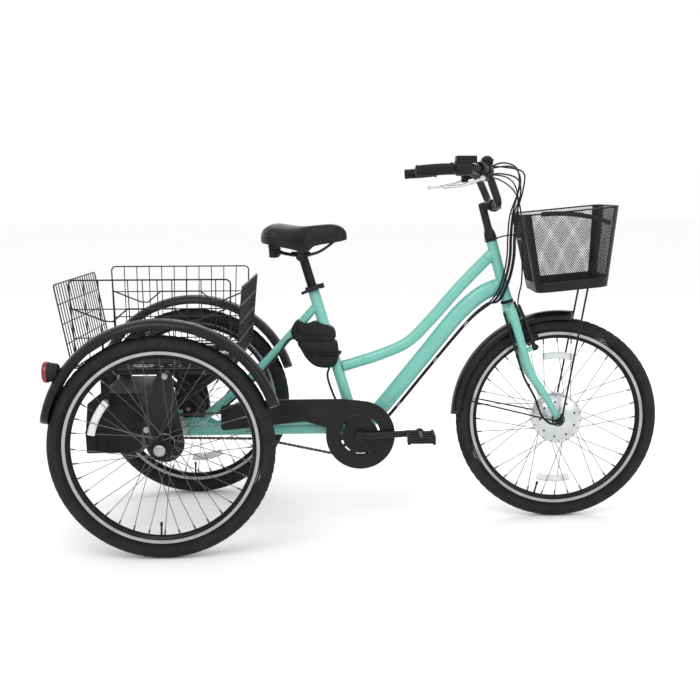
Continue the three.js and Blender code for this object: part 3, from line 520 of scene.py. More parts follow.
def tyre(name, centre, body):
    """A tyre with a blocked tread, two shoulder rings and a plain side wall."""
    piece = Piece()
    SEGMENTS, ROWS = 360, 30
    BEAD_LEAN, TREAD_LEAN = 112, 50
    BLOCK_STEPS, GROOVE = 5, 1.5
    rings = []
    for i in range(SEGMENTS):
        out = out_at(2 * math.pi * i / SEGMENTS)
        ring = []
        for j in range(ROWS + 1):
            lean = BEAD_LEAN * (2 * j / ROWS - 1)
            steep = abs(lean)
            radius = TYRE_R - CASING_R + CASING_R * math.cos(math.radians(lean))
            along = CASING_R * math.sin(math.radians(lean))
            across_groove = (i + int(steep / 9)) % BLOCK_STEPS == 0
            if steep < TREAD_LEAN and (across_groove or 8 < steep < 15):
                radius -= GROOVE
            if 56 < steep < 62 or 78 < steep < 84:
                along *= 1.012
            ring.append(centre + out * radius + LEFT * along)
        rings.append(ring)
    piece.loft(rings, closed=True, open_rings=True)
    rim_tape = [(268.4, -21), (263, -14), (262.6, 0), (263, 14), (268.4, 21)]
    piece.turn(rim_tape, centre, segments=120)
    piece.make(name + "_fine", body, TYRE, [name], crease=50)


def rim(name, centre, body, valve_angle):
    """A box-section rim with machined brake tracks, and the tube's valve."""
    piece = Piece()
    side = [(RIM_OUTER, 12.2), (258.4, 12.4), (250, 11.4), (243.5, 9), (240, 5.5), (RIM_INNER, 2)]
    profile = [(r, -y) for r, y in side] + side[::-1]
    BLACK, SILVER = 0, 1
    kinds = [SILVER if j in (1, 9) else BLACK for j in range(len(profile))]
    piece.turn(profile, centre, segments=160, closed=True, kinds=kinds)
    out = out_at(math.radians(valve_angle))
    piece.bar(centre + out * 240, centre + out * 205, 3, 10, end=2.4)
    piece.bar(centre + out * 213, centre + out * 203, 3.8, 10, end=3.4)
    piece.make(name + "_fine", body, [ANODISED, TRACK], [name])


def spokes(name, centre, body, flange_r, crossing):
    """Thirty-six crossed spokes with their nipples; crossing is the angle from hub end to rim end."""
    piece = Piece()
    COUNT, NIPPLE = 36, 14
    for i in range(COUNT):
        side = 1 if i % 2 else -1
        lean = 1 if i // 2 % 2 else -1
        rim_angle = 2 * math.pi * i / COUNT
        hub_end = out_at(rim_angle + lean * math.radians(crossing)) * flange_r
        foot = centre + hub_end + LEFT * side * (FLANGE_Y + lean * 1.6)
        tip = centre + out_at(rim_angle) * (RIM_INNER + 1) + LEFT * side * 3
        piece.bar(foot, tip, 1.0, 6)
        piece.bar(tip.lerp(foot, NIPPLE / (tip - foot).length), tip, 2.1, 8, end=2.4)
    piece.make(name, body, SPOKE)


def reflectors(name, centre, body, angles):
    """Reflectors clipped across the spokes."""
    piece = Piece()
    profile = [(180, -3.5), (194, -3.5), (197, -1), (197, 1), (194, 3.5), (180, 3.5), (177, 1), (177, -1)]
    HALF_SPREAD = 15
    for angle in angles:
        piece.turn(profile, centre, segments=24, closed=True, arc=(angle - HALF_SPREAD, angle + HALF_SPREAD))
    piece.make(name, body, WHITE_REFLECTOR)


def rear_hub(name, centre, body, outward):
    """A flanged hub shell with drilled flanges, and a dust cap."""
    piece = Piece()
    half = [(15, 0), (15.5, 15), (19, 19), (29, 20), (30, 21), (30, 23), (29.5, 24), (16, 24.5), (15, 26),
            (10.6, 26)]
    shell = [(r, -y) for r, y in half[:0:-1]] + half
    piece.turn(shell, centre, segments=48, closed=True)
    for out in directions(18):
        for side in (-1, 1):
            at = centre + out * REAR_FLANGE_R
            piece.bar(at + LEFT * side * 23.4, at + LEFT * side * 25.2, 1.7, 8)
    piece.make(name + "_fine", body, ANODISED, [name])
    cap = Piece()
    dome = [(0, 0), (12, 0), (15, 1.5), (15.5, 6), (14, 7), (10.8, 7)]
    cap.turn(dome, centre + LEFT * outward * 27, LEFT * outward, 32)
    cap.make(name + "_dust_cap", body, PLASTIC)


def hub_motor():
    """The front hub motor: a finned shell with a screwed cover on each side."""
    piece = Piece()
    shell = [(7, -39.5), (15, -39.5), (17, -37.5), (36, -36), (40, -34.5), (58, -29), (62, -25.5), (72, -24),
             (73, -23), (73, -21), (72, -20), (67, -19), (65.5, -17)]
    ribs = []
    for y in range(-14, 15, 4):
        ribs += [(65.5, y - 1.4), (64.2, y - 0.7), (64.2, y + 0.7), (65.5, y + 1.4)]
    profile = shell + ribs + [(r, -y) for r, y in shell[::-1]]
    piece.turn(profile, FRONT_AXLE, segments=72, closed=True)
    piece.make("hub_motor_shell", "front_wheel", ALLOY, ["hub_motor"])
    detail = Piece()
    for side in (-1, 1):
        outward = LEFT * side
        for out in directions(9, 0.5):
            screw = [(0, 2.4), (2.6, 2.2), (3.4, 1), (3.4, -2)]
            detail.turn(screw, FRONT_AXLE + out * 52 + outward * 29.5, outward, 12)
        for out in directions(18, 0.25 * side):
            spoke_head = [(0, 1.8), (2, 1.4), (2.2, 0), (2.2, -1)]
            detail.turn(spoke_head, FRONT_AXLE + out * MOTOR_FLANGE_R + outward * 23.6, outward, 8)
        detail.turn([(16, 2), (18, 2.6), (20, 2)], FRONT_AXLE + outward * 36.6, outward, 40)
    detail.make("hub_motor_screws", "front_wheel", ANODISED)


for hand, reflector_angle in ((1, 280), (-1, 154)):
    which = side_name(hand)
    hub_centre = Vector((0, hand * HALF_TRACK, AXLE_Z))
    wheel_body = "rear_wheel_" + which
    tyre("rear_tyre_" + which, hub_centre, wheel_body)
    rim("rear_rim_" + which, hub_centre, wheel_body, 268)
    spokes("rear_spokes_" + which, hub_centre, wheel_body, REAR_FLANGE_R, 55)
    rear_hub("rear_hub_" + which, hub_centre, wheel_body, hand)
    reflectors("rear_reflector_" + which, hub_centre, wheel_body, [reflector_angle])
tyre("front_tyre", FRONT_AXLE, "front_wheel")
rim("front_rim", FRONT_AXLE, "front_wheel", 255)
spokes("front_spokes", FRONT_AXLE, "front_wheel", MOTOR_FLANGE_R, 24)
reflectors("front_reflectors", FRONT_AXLE, "front_wheel", [88, 268])
hub_motor()


# ---- rear axle ----
PLATE_Y = 272


def rear_axle():
    """The shaft through both wheels, with a washer, a hexagon nut and a rounded end on each side."""
    piece = Piece()
    axle = Vector((0, 0, AXLE_Z))
    for side in (-1, 1):
        out = LEFT * side
        hub = axle + out * HALF_TRACK
        piece.bar(axle, hub + out * 43, 10, 28)
        piece.turn([(10, 42), (10, 43.5), (8.5, 44), (0, 44)], hub, out, 28)
        piece.turn([(10, 34.3), (15.6, 34.3), (15.6, 36.8), (10, 36.8)], hub, out, 28)
        piece.turn([(10, 37), (15.4, 37), (15.6, 38), (15.6, 40), (13, 42), (10, 42)], hub, out, 6)
    piece.make("rear_axle_fine", "rear_wheel_right", STEEL, ["rear_axle_shaft"])


def bearing(side):
    """A flanged axle bearing with four rivets."""
    piece = Piece()
    out = LEFT * side
    centre = Vector((0, 0, AXLE_Z)) + out * PLATE_Y
    flange = [(10.7, -10.5), (20.6, -8.8), (21.2, -8), (21.2, 3.6), (27, 3.6), (27.6, 4.2), (27.6, 7),
              (26.6, 7.9), (21, 8), (14, 10.6), (10.7, 10.8)]
    piece.turn(flange, centre, out, 40, closed=True)
    for way in directions(4, 0.5):
        piece.turn([(0, 1.6), (1.8, 1.4), (2.2, 0)], centre + way * 24 + out * 7.6, out, 10)
    name = "axle_bearing_" + side_name(side)
    piece.make(name + "_fine", "frame", STEEL, [name])


def band_brake():
    """The closed drum of the parking brake beside the sprocket."""
    piece = Piece()
    centre = Vector((0, 57, AXLE_Z))
    drum = [(13, -11.5), (20, -11.8), (24, -10), (40, -10.5), (44, -11.6), (47.5, -9), (48.4, -6)]
    piece.turn(drum + [(r, -y) for r, y in drum[::-1]], centre, segments=56, closed=True)
    for way in directions(6):
        piece.turn([(0, 1.3), (2.4, 1.1), (3, 0)], centre + way * 32 - LEFT * 10.4, -LEFT, 10)
    piece.make("band_brake_fine", "frame", COAT, ["band_brake"])


rear_axle()
bearing(1)
bearing(-1)
band_brake()


# ---- main frame ----
DOWN_TUBE = [(532, 0, 274), (593, 0, 342), (719, 0, 495), (828, 0, 625), (890, 0, 675), (938, 0, 695)]
TOP_TUBE = [(926, 0, 800), (820, 0, 692), (731, 0, 592), (668, 0, 531), (594, 0, 497), (478, 0, 461)]
SEAT_STAY = [(402, 0, 640), (241, 0, 463), (162, 0, 389), (62, 0, 306)]
STAY_Y = 34
STAY_Z = 281
HEAD_TOP_Z = 825
SEAT_TOP_Z = 684


def main_frame():
    """The welded tubes: head, down, top and seat tube, bottom bracket, stays and rear gussets."""
    piece = Piece()
    top = steer_point(HEAD_TOP_Z)
    reach = (top - STEER_FOOT).length
    head = [(13.8, 0), (17.4, 0.3), (17.5, 7), (16.9, 9), (16.2, 20), (16, reach / 2), (15.9, reach - 12),
            (16.1, reach - 8), (16.1, reach - 0.3), (13.8, reach)]
    piece.turn(head, STEER_FOOT, STEER_UP, 40, closed=True)
    piece.sweep(spline(DOWN_TUBE), 18, 28, depth=24)
    piece.sweep(spline(TOP_TUBE), 15, 28, depth=17)
    length = (seat_point(SEAT_TOP_Z) - SEAT_FOOT).length
    seat = [(0, 0), (16.4, 0), (16.5, length - 1), (15.8, length), (14.2, length), (14.2, length - 60)]
    piece.turn(seat, SEAT_FOOT, SEAT_UP, 40)
    piece.turn([(13.2, -35), (20, -35), (21, -34), (21, 34), (20, 35), (13.2, 35)], BB, LEFT, 40, closed=True)
    piece.sweep(spline(SEAT_STAY), 12.5, 24)
    piece.bar((66, -STAY_Y, 300), (66, STAY_Y, 300), 15, 24)
    piece.bar((440, -STAY_Y, STAY_Z), (440, STAY_Y, STAY_Z), 9, 20)
    for side in (-1, 1):
        y = side * STAY_Y
        stay = [(515, y, 275), (440, y, STAY_Z), (240, y, STAY_Z), (32, y, STAY_Z)]
        piece.sweep(spline(stay), 9, 22, depth=15)
        gusset = [(-21, 283), (-21, 317), (-8, 329), (40, 329), (109, 292), (109, 271), (30, 265), (-8, 271)]
        piece.plate(gusset, 5.6, y, 1.2)
        eye = [(14.2, 0), (20, 0), (20, 1.4), (14.2, 1.4)]
        piece.turn(eye, (0, y + side * 2.6, AXLE_Z), LEFT * side, 36)
    piece.make("main_frame_tubes", "frame", MINT, ["main_frame"])


def weld_beads():
    """The rippled beads where the tubes meet. BEADS: path, place along it, half width and depth there."""
    BEADS = [(DOWN_TUBE, 0.93, 17.8, 23.8), (TOP_TUBE, 0.05, 14.8, 16.8), (TOP_TUBE, 0.9, 14.8, 16.8),
             (SEAT_STAY, 0.06, 12.4, 12.4)]
    AROUND, RIPPLE = 44, 0.012
    piece = Piece()
    for path, share, wide, deep in BEADS:
        line = spline(path)
        k = int(share * (len(line) - 1))
        run = (line[k + 1] - line[k]).normalized()
        rise = run.cross(LEFT).normalized()
        ring = []
        for i in range(AROUND):
            turn = 2 * math.pi * i / AROUND
            around = LEFT * wide * math.cos(turn) + rise * deep * math.sin(turn)
            ring.append(line[k] + around * (1 + RIPPLE * (i % 2)))
        piece.sweep(ring, 1.4, 6, closed=True)
    piece.make("frame_weld_beads", "frame", MINT)


def frame_hardware():
    """Bolts and small guides on the frame."""
    piece = Piece()
    for side in (-1, 1):
        for x, z in ((-8, 322), (28, 322), (64, 296), (92, 286)):
            piece.bolt((x, side * 37, z), LEFT * side, 3.6, 3.2)
    for x, z in ((640, 345), (749, 478), (838, 584)):
        piece.block((16, 14, 4), (x, 0, z), 1.2, (-50, "Y"))
    piece.make("frame_bolts", "frame", STEEL)


def headset():
    """The lower cup under the head tube."""
    piece = Piece()
    cup = [(13.6, -8.2), (19, -8.2), (20, -7), (19.8, -5), (18.4, -4), (19.4, -3), (19.6, -1), (17.6, -0.5),
           (13.6, -0.5)]
    piece.turn(cup, STEER_FOOT, STEER_UP, 40, closed=True)
    piece.make("headset_lower_fine", "frame", COAT, ["headset_lower_cup"])


def on_seat_axis(point):
    """A point round the seat tube's axis, with its third number along that axis from the tube's top."""
    ahead = LEFT.cross(SEAT_UP)
    x, y, rise = point
    return seat_point(SEAT_TOP_Z) + ahead * x + LEFT * y + SEAT_UP * rise


def seat_collar():
    """The split collar with its clamp ears, and the quick-release lever beside it."""
    piece = Piece()
    ring = [(14.4, 1), (21, 1), (22, 2), (22, 13.5), (21, 14.8), (14.4, 14.8)]
    piece.turn(ring, seat_point(SEAT_TOP_Z), SEAT_UP, 44, closed=True)
    tilt = math.degrees(math.atan2(-SEAT_UP.x, SEAT_UP.z))
    for side in (-1, 1):
        piece.block((15, 8, 11.6), on_seat_axis((26, side * 5.6, 8)), 1.6, (-tilt, "Y"))
    piece.bar(on_seat_axis((28, -10, 8)), on_seat_axis((28, 10, 8)), 3, 14)
    piece.make("seat_collar_fine", "frame", COAT, ["seat_clamp_collar"])
    lever = Piece()
    barrel = [(0, 1), (6.4, 1), (7, 2), (7, 14), (6.4, 15), (0, 15)]
    lever.turn(barrel, on_seat_axis((28, -18, 0)), SEAT_UP, 24)
    path = [on_seat_axis(p) for p in ((28, -20, 8), (12, -29, 8), (-14, -29, 6), (-34, -23, 3))]
    lever.sweep(spline(path), lambda t: 3 - 0.8 * t, 12, depth=lambda t: 4 + 0.9 * math.sin(math.pi * t))
    lever.make("seat_lever_fine", "seat_lever", COAT, ["seat_clamp_lever"])


main_frame()
weld_beads()
frame_hardware()
headset()
seat_collar()


# ---- controller case between the seat stay and the seat tube ----
def soft_shell(piece, outline, half, middle_z):
    """A soft-edged case: the outline on rings that pull in towards both flat sides."""
    LAYERS = [(-1, 0.8), (-0.92, 0.93), (-0.7, 0.99), (0, 1.0), (0.7, 0.99), (0.92, 0.93), (1, 0.8)]
    middle_x = sum(x for x, z in outline) / len(outline)
    centre = Vector((middle_x, 0, middle_z))
    loop = spline([(x, 0, z) for x, z in outline], 4, closed=True)
    piece.loft([[centre.lerp(p, pull) + LEFT * share * half for p in loop] for share, pull in LAYERS])


def controller_case():
    """The padded bag below and the yoke above it, which wrap the seat tube."""
    piece = Piece()
    bag = [(346, 534), (392, 539), (458, 538), (465, 513), (464, 484), (451, 463), (430, 459), (398, 464),
           (372, 486), (357, 511)]
    yoke = [(327, 564), (345, 599), (358, 596), (372, 588), (398, 595), (418, 589), (439, 583), (454, 571),
            (457, 547), (437, 532), (392, 531), (350, 532)]
    soft_shell(piece, bag, 31.5, 498.5)
    soft_shell(piece, yoke, 27.5, 565)
    piece.make("controller_case_fine", "frame", NYLON, ["controller_case"], crease=60)


def case_straps():
    """A strap round each part of the case, with its buckle."""
    piece = Piece()
    for z, rear, front, wide in ((500, 358, 473, 33), (566, 332, 453, 29)):
        low, high = Vector((rear, 0, z + 4)), Vector((front, 0, z - 2))
        half = [(0.06, 0), (0.09, 20), (0.13, wide), (0.86, wide), (0.955, 18), (0.98, 0)]
        around = half + [(along, -y) for along, y in half[-2:0:-1]]
        loop = [low.lerp(high, along) + LEFT * y for along, y in around]
        piece.sweep(spline(loop, 6, closed=True), 1.1, 8, depth=7, across=LEFT, closed=True)
    piece.block((16, 4, 20), (398, -33.5, 499), 1.4)
    piece.block((16, 4, 18), (392, -29.5, 565), 1.4)
    piece.make("controller_case_straps", "frame", PLASTIC)


def controller_wires():
    """One wire down the seat stay to the battery, and one down to the bottom bracket."""
    piece = Piece()
    rear_run = [(352, -22, 544), (326, -26, 546), (296, -22, 508), (240, -16, 444), (170, -15, 378),
                (112, -22, 330)]
    piece.sweep(spline(rear_run), 3.2, 12)
    low_run = [(440, -12, 466), (432, -22, 440), (440, -24, 404), (466, -22, 340), (484, -24, 300)]
    piece.sweep(spline(low_run), 3.4, 12)
    piece.make("controller_wires", "frame", CABLE)


controller_case()
case_straps()
controller_wires()


# ---- rear carrier ----
RAIL_Y = 215
RAIL_Z = 486
RAIL_R = 9
INNER_Y = 45.5
HANGER_X = -180
LOWER_BAR_X, LOWER_BAR_Z = -48, 337


def rear_carrier():
    """The side plates, the cross tubes, the struts and the rails that carry the basket's floor."""
    piece = Piece()
    PLATE_R, PLATE_STEPS = 52, 22
    foot = [out_at(math.radians(-180 + 189 * i / PLATE_STEPS)) * PLATE_R for i in range(PLATE_STEPS + 1)]
    side_plate = [(p.x, AXLE_Z + p.z) for p in foot]
    side_plate += [(24, 470), (24, 492), (-14, 492), (-24, 470), (-59, 346)]
    inner_plate = [(14, 322), (76, 322), (80, 360), (40, 410), (14, 400)]
    for side in (-1, 1):
        inner, rail = side * INNER_Y, side * RAIL_Y
        piece.plate(side_plate, 5.6, side * PLATE_Y, 1.2)
        piece.plate(inner_plate, 5.6, side * 40.3, 1)
        piece.bar((-228, rail, RAIL_Z), (176, rail, RAIL_Z), RAIL_R, 20)
        piece.bar((-62, inner, 478), (76, inner, 335), 8, 18)
        piece.bar((-225, inner, RAIL_Z), (168, inner, RAIL_Z), 8, 18)
        piece.bar((LOWER_BAR_X, side * 110, LOWER_BAR_Z), (168, side * 110, RAIL_Z), 8, 18)
        piece.bar((HANGER_X, inner, RAIL_Z), (HANGER_X, rail, RAIL_Z), 7, 16)
        piece.block((25, 2.8, 119), (HANGER_X, side * 154, 432), 0.8)
    for x, z, reach in ((4, 482, PLATE_Y), (LOWER_BAR_X, LOWER_BAR_Z, PLATE_Y), (-222, RAIL_Z, RAIL_Y),
                        (168, RAIL_Z, RAIL_Y)):
        piece.bar((x, -reach, z), (x, reach, z), RAIL_R, 20)
    piece.make("rear_carrier_fine", "frame", COAT, ["rear_subframe"])


def carrier_bolts():
    """Bolts on the cross tubes' ends, the battery's hangers and the inner plates."""
    piece = Piece()
    for side in (-1, 1):
        out = LEFT * side
        for x, z in ((4, 482), (LOWER_BAR_X, LOWER_BAR_Z)):
            piece.bolt((x, side * (PLATE_Y + 2.8), z), out, 5.5, 4.5)
        for z in (392, 470):
            piece.bolt((HANGER_X, side * 155.4, z), out, 4.5, 4)
        for x, z in ((30, 345), (58, 338), (32, 388)):
            piece.bolt((x, side * 43.2, z), out, 4, 3.5)
    piece.make("rear_carrier_bolts", "frame", STEEL)


def battery_box():
    """A moulded box with a lid line, side ribs, a raised side panel, a latch and a lock plate."""
    piece = Piece()
    box_side = [(-241.5, 242.5), (-241.5, 300), (-234.5, 384), (-195.5, 414.5), (-86, 414.5), (-86, 242.5)]
    piece.plate(box_side, 292, 0, 5)
    LID_Z, SIDE_Y = 304, 147
    lid_line = [(-241.8, LID_Z - 3), (-241.8, LID_Z + 3), (-85.6, LID_Z + 3), (-85.6, LID_Z - 3)]
    for side in (-1, 1):
        y = side * SIDE_Y
        piece.plate(lid_line, 3, y, 1)
        for x in range(-214, -101, 28):
            piece.block((8, 3.4, 44), (x, y, 272), 1.4)
        piece.block((96, 3, 52), (-150, y, 358), 1.3)
    piece.block((3, 70, 22), (-241, 0, 318), 1.3)
    piece.block((3, 40, 40), (-241, 92, 270), 1.3)
    piece.make("battery_box_fine", "frame", PLASTIC, ["battery_box"])


rear_carrier()
carrier_bolts()
battery_box()


# ---- fenders and the tail lamp ----
REAR_FENDER = {"x": 3, "z": 322, "r": 322, "arc": (16, 171)}
FRONT_FENDER = {"x": WHEELBASE + 2, "z": 304, "r": 318, "arc": (82, 178)}


def fender_section(radius, narrow):
    """The blade's cross-section as (radius, place along the axle): crowned, ribbed and with rolled edges."""
    CROWN, RIB, WALL, HALF_WIDTH = 24, 0.6, 1.9, 30.4
    half = HALF_WIDTH * narrow
    outer = []
    for lean in range(-90, 91, 15):
        drop = CROWN * (1 - max(math.cos(math.radians(lean)), 0) ** 0.7)
        rib = 0 if lean else RIB
        outer.append((radius - drop - 0.7 + rib, half * math.sin(math.radians(lean))))
    edge = [(radius - CROWN - 1.6, half + 0.2), (radius - CROWN - 2.4, half - 1.2)]
    inner = [(r - WALL, w * 0.955) for r, w in outer[::-1]]
    return outer + edge + inner + [(r, -w) for r, w in edge[::-1]]


def fender_shell(piece, spec, y):
    """A blade along the spec's arc, narrower over the last few degrees at its two ends."""
    centre = Vector((spec["x"], y, spec["z"]))
    start, stop = spec["arc"]
    STEPS, END = 110, 4
    rings = []
    for i in range(STEPS + 1):
        angle = start + (stop - start) * i / STEPS
        gap = min(angle - start, stop - angle, END) / END
        narrow = math.sqrt(max(0.16, 1 - (1 - gap) ** 2))
        out = out_at(math.radians(angle))
        rings.append([centre + out * r + LEFT * w for r, w in fender_section(spec["r"], narrow)])
    piece.loft(rings)


def rear_fender(side):
    """A rear blade, and the two wire stays that hold it to the carrier's rail."""
    name = "rear_fender_" + side_name(side)
    piece = Piece()
    fender_shell(piece, REAR_FENDER, side * HALF_TRACK)
    piece.make(name + "_blade", "frame", FENDER, [name], crease=45)
    stays = Piece()
    for x in (-150, 150):
        rise = math.sqrt((REAR_FENDER["r"] - 12) ** 2 - (x - REAR_FENDER["x"]) ** 2)
        top = REAR_FENDER["z"] + rise
        path = [(x, side * (RAIL_Y + RAIL_R), RAIL_Z), (x, side * 278, RAIL_Z), (x, side * 291, RAIL_Z + 12),
                (x, side * 294.5, top)]
        stays.sweep(spline(path), 2.9, 12)
        stays.bolt((x, side * 292, top - 16), LEFT * -side, 3, 2.6)
    stays.make(name + "_stays", "frame", COAT)


def front_fender():
    """The front blade, its hanger at the fork's crown, and its two long stays from the axle."""
    piece = Piece()
    fender_shell(piece, FRONT_FENDER, 0)
    piece.make("front_fender_blade", "steering", FENDER, ["front_fender"], crease=45)
    stays = Piece()
    stays.bar((986, 0, 586), (972, 0, 612), 4, 14)
    for side in (-1, 1):
        eye = [(6.7, 0), (10.8, 0), (10.8, 2), (6.7, 2)]
        stays.turn(eye, FRONT_AXLE + LEFT * side * 59.1, LEFT * side, 28, closed=True)
        stays.plate([(1103, 297.4), (1103, 304.8), (1088, 305.8), (1088, 298.2)], 2, side * 60.1, 0.5)
        stays.bar((1094, side * 61.4, 301.6), (814, side * 29.8, 366.8), 2.3, 10)
        stays.bolt((818, side * 31, 366), LEFT * side, 2.6, 2.2)
    stays.make("front_fender_stays_fine", "steering", COAT)


def tail_lamp():
    """A cone-shaped housing with three ribs, and a domed lens that faces back."""
    low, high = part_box("tail_lamp_body")
    face = local((low.x, (low.y + high.y) / 2, (low.z + high.z) / 2))
    piece = Piece()
    cone = [(0, 32), (21, 32), (22.6, 26), (24.6, 16), (26.6, 6), (27.8, 1), (27.6, 0), (25.5, 0)]
    piece.turn(cone, face, FORWARD, 48)
    for k in range(3):
        rib = [(24.6, 12 + k * 7), (25.6 - k, 13 + k * 7), (24.4 - k, 15 + k * 7)]
        piece.turn(rib, face, FORWARD, 48)
    piece.make("tail_lamp_housing", "frame", PLASTIC, ["tail_lamp_body"])
    lens = Piece()
    dome = [(0, 7.4), (8, 7.3), (16, 7), (24, 6), (27.2, 4), (28, 1), (28, -6), (27.4, -7), (25, -7),
            (0, 0.2)]
    lens.turn(dome, face - FORWARD * 0.2, -FORWARD, 48)
    lens.make("tail_lamp_lens_fine", "frame", LENS, ["tail_lamp_lens"])


rear_fender(1)
rear_fender(-1)
front_fender()
tail_lamp()


# ---- drive ----
CHAIN_Y = -60
CHAINRING_R = 74
RING_TEETH = 36
SPROCKET_R = 34
SPROCKET_TEETH = 17
FIRST_PIN = -math.pi / 2 - 0.22
GUIDE = Vector((235, 0, 241))
GUIDE_R = 14
ARM_Y = 101
PEDAL_INNER = 112
PEDAL_OUTER = 206


def chain_route():
    """The chain's centre line: over the ring, back to the sprocket, round it, and over the guide roller."""
    drop = Vector((BB.x, BB.z - AXLE_Z))
    slope = math.atan2(drop.y, drop.x)
    top = slope + math.pi / 2 + math.asin((CHAINRING_R - SPROCKET_R) / drop.length)

    def arc(centre, radius, start, stop, steps):
        angles = [start + (stop - start) * i / steps for i in range(steps + 1)]
        return [Vector((centre.x, CHAIN_Y, centre.z)) + out_at(angle) * radius for angle in angles]

    over_ring = arc(BB, CHAINRING_R, FIRST_PIN, top, 120)
    round_sprocket = arc(Vector((0, 0, AXLE_Z)), SPROCKET_R, top, 1.5 * math.pi - 0.02, 60)
    return over_ring + round_sprocket + [Vector((GUIDE.x, CHAIN_Y, GUIDE.z + GUIDE_R + 5))]


def walk(route, pitch):
    """Points round a closed route, as near to the pitch apart as goes into it an even number of times."""
    ends = route + [route[0]]
    spans = [(b - a).length for a, b in zip(ends, ends[1:])]
    count = 2 * round(sum(spans) / pitch / 2)
    step = sum(spans) / count
    places, index, used = [], 0, 0.0
    for k in range(count):
        target = k * step
        while used + spans[index] < target:
            used += spans[index]
            index += 1
        places.append(ends[index].lerp(ends[index + 1], (target - used) / spans[index]))
    return places


def link_outline(pin, after):
    """The figure-eight edge of a side plate from one pin to the next."""
    END_R, WAIST, STEPS = 3.7, 2.4, 4
    run = (after - pin).normalized()
    rise = run.cross(LEFT)
    middle = (pin + after) / 2
    outline = []
    for end, turn, waist in ((after, 0, WAIST), (pin, math.pi, -WAIST)):
        for k in range(STEPS + 1):
            angle = turn - math.pi / 2 + math.pi * k / STEPS
            outline.append(end + (run * math.cos(angle) + rise * math.sin(angle)) * END_R)
        outline.append(middle + rise * waist)
    return outline


def drive_chain():
    """Bushed links: figure-eight side plates, alternately inner and outer, on rollers."""
    INNER, OUTER, WALL = 1.7, 2.6, 0.8
    piece = Piece()
    pins = walk(chain_route(), 2 * math.pi * CHAINRING_R / RING_TEETH)
    for i, pin in enumerate(pins):
        piece.bar(pin - LEFT * 3.3, pin + LEFT * 3.3, 1.5, 8)
        piece.bar(pin - LEFT * 1.5, pin + LEFT * 1.5, 3.4, 10)
        outline = link_outline(pin, pins[(i + 1) % len(pins)])
        near = OUTER if i % 2 else INNER
        for side in (-1, 1):
            piece.loft([[p + LEFT * side * y for p in outline] for y in (near, near + WALL)])
    piece.make("drive_chain_links", "frame", CHAIN, ["drive_chain"])


def toothed_ring(piece, centre, inner, pitch_r, teeth, thickness, phase=0.0):
    """A sprocket plate with rounded teeth standing between the rollers; a valley lies at phase."""
    TOOTH = ((0.0, -5.6), (0.22, -4.6), (0.36, -1.2), (0.5, -0.2), (0.64, -1.2), (0.78, -4.6))
    rings = []
    for i in range(teeth):
        for share, reach in TOOTH:
            out = out_at(phase + 2 * math.pi * (i + share) / teeth)
            section = ((pitch_r + reach, -1), (pitch_r + reach, 1), (inner, 1), (inner, -1))
            rings.append([centre + out * r + LEFT * half * thickness / 2 for r, half in section])
    piece.loft(rings, closed=True)


def crank_arm(piece, side):
    """A waisted arm from the spindle to the pedal, with a boss at each end and the pedal's spindle."""
    tip = local(JOINTS[f"pedal_{side_name(side)}_spin"]["pos_m"])
    start = Vector((BB.x, side * ARM_Y, BB.z))
    end = Vector((tip.x, side * ARM_Y, tip.z))
    path = [start.lerp(end, k / 8) for k in range(9)]
    piece.sweep(path, lambda t: 6.8 - 1.2 * t, 18, depth=lambda t: 12 - 2.6 * math.sin(math.pi * t * 0.6))
    out = LEFT * side
    spindle_boss = [(0, -10), (15, -10), (16.8, -8), (16.8, 6), (15, 8.5), (11.5, 8.8), (10.5, 6), (0, 6)]
    pedal_boss = [(0, -8), (11.5, -8), (12.8, -6.5), (12.8, 6), (11.5, 7.6), (0, 7.6)]
    piece.turn(spindle_boss, start, out, 36)
    piece.turn(pedal_boss, end, out, 32)
    piece.bar(end, end + out * (PEDAL_OUTER - 6 - ARM_Y), 4.8, 16)


def crankset():
    """The chainring on a five-armed spider, the spindle, and both crank arms."""
    piece = Piece()
    crank_arm(piece, -1)
    centre = Vector((BB.x, CHAIN_Y, BB.z))
    toothed_ring(piece, centre, 60, CHAINRING_R, RING_TEETH, 2.8, FIRST_PIN)
    for out in directions(5):
        piece.sweep([centre + out * r for r in (14, 30, 46, 63)], 2.2, 12, depth=lambda t: 7.5 - 3.2 * t)
        piece.bolt(centre + out * 62 - LEFT * 1.6, -LEFT, 3, 2.4)
    piece.bar((BB.x, -ARM_Y, BB.z), (BB.x, 88, BB.z), 8.8, 24)
    piece.turn([(9, -4), (18, -4), (19.6, -2.6), (19.6, 2.6), (18, 4), (9, 4)], centre, LEFT, 36, closed=True)
    piece.make("crankset_fine", "cranks", COAT, ["crankset"])
    other = Piece()
    crank_arm(other, 1)
    other.make("crank_arm_left_fine", "cranks", COAT, ["crank_arm_left"])


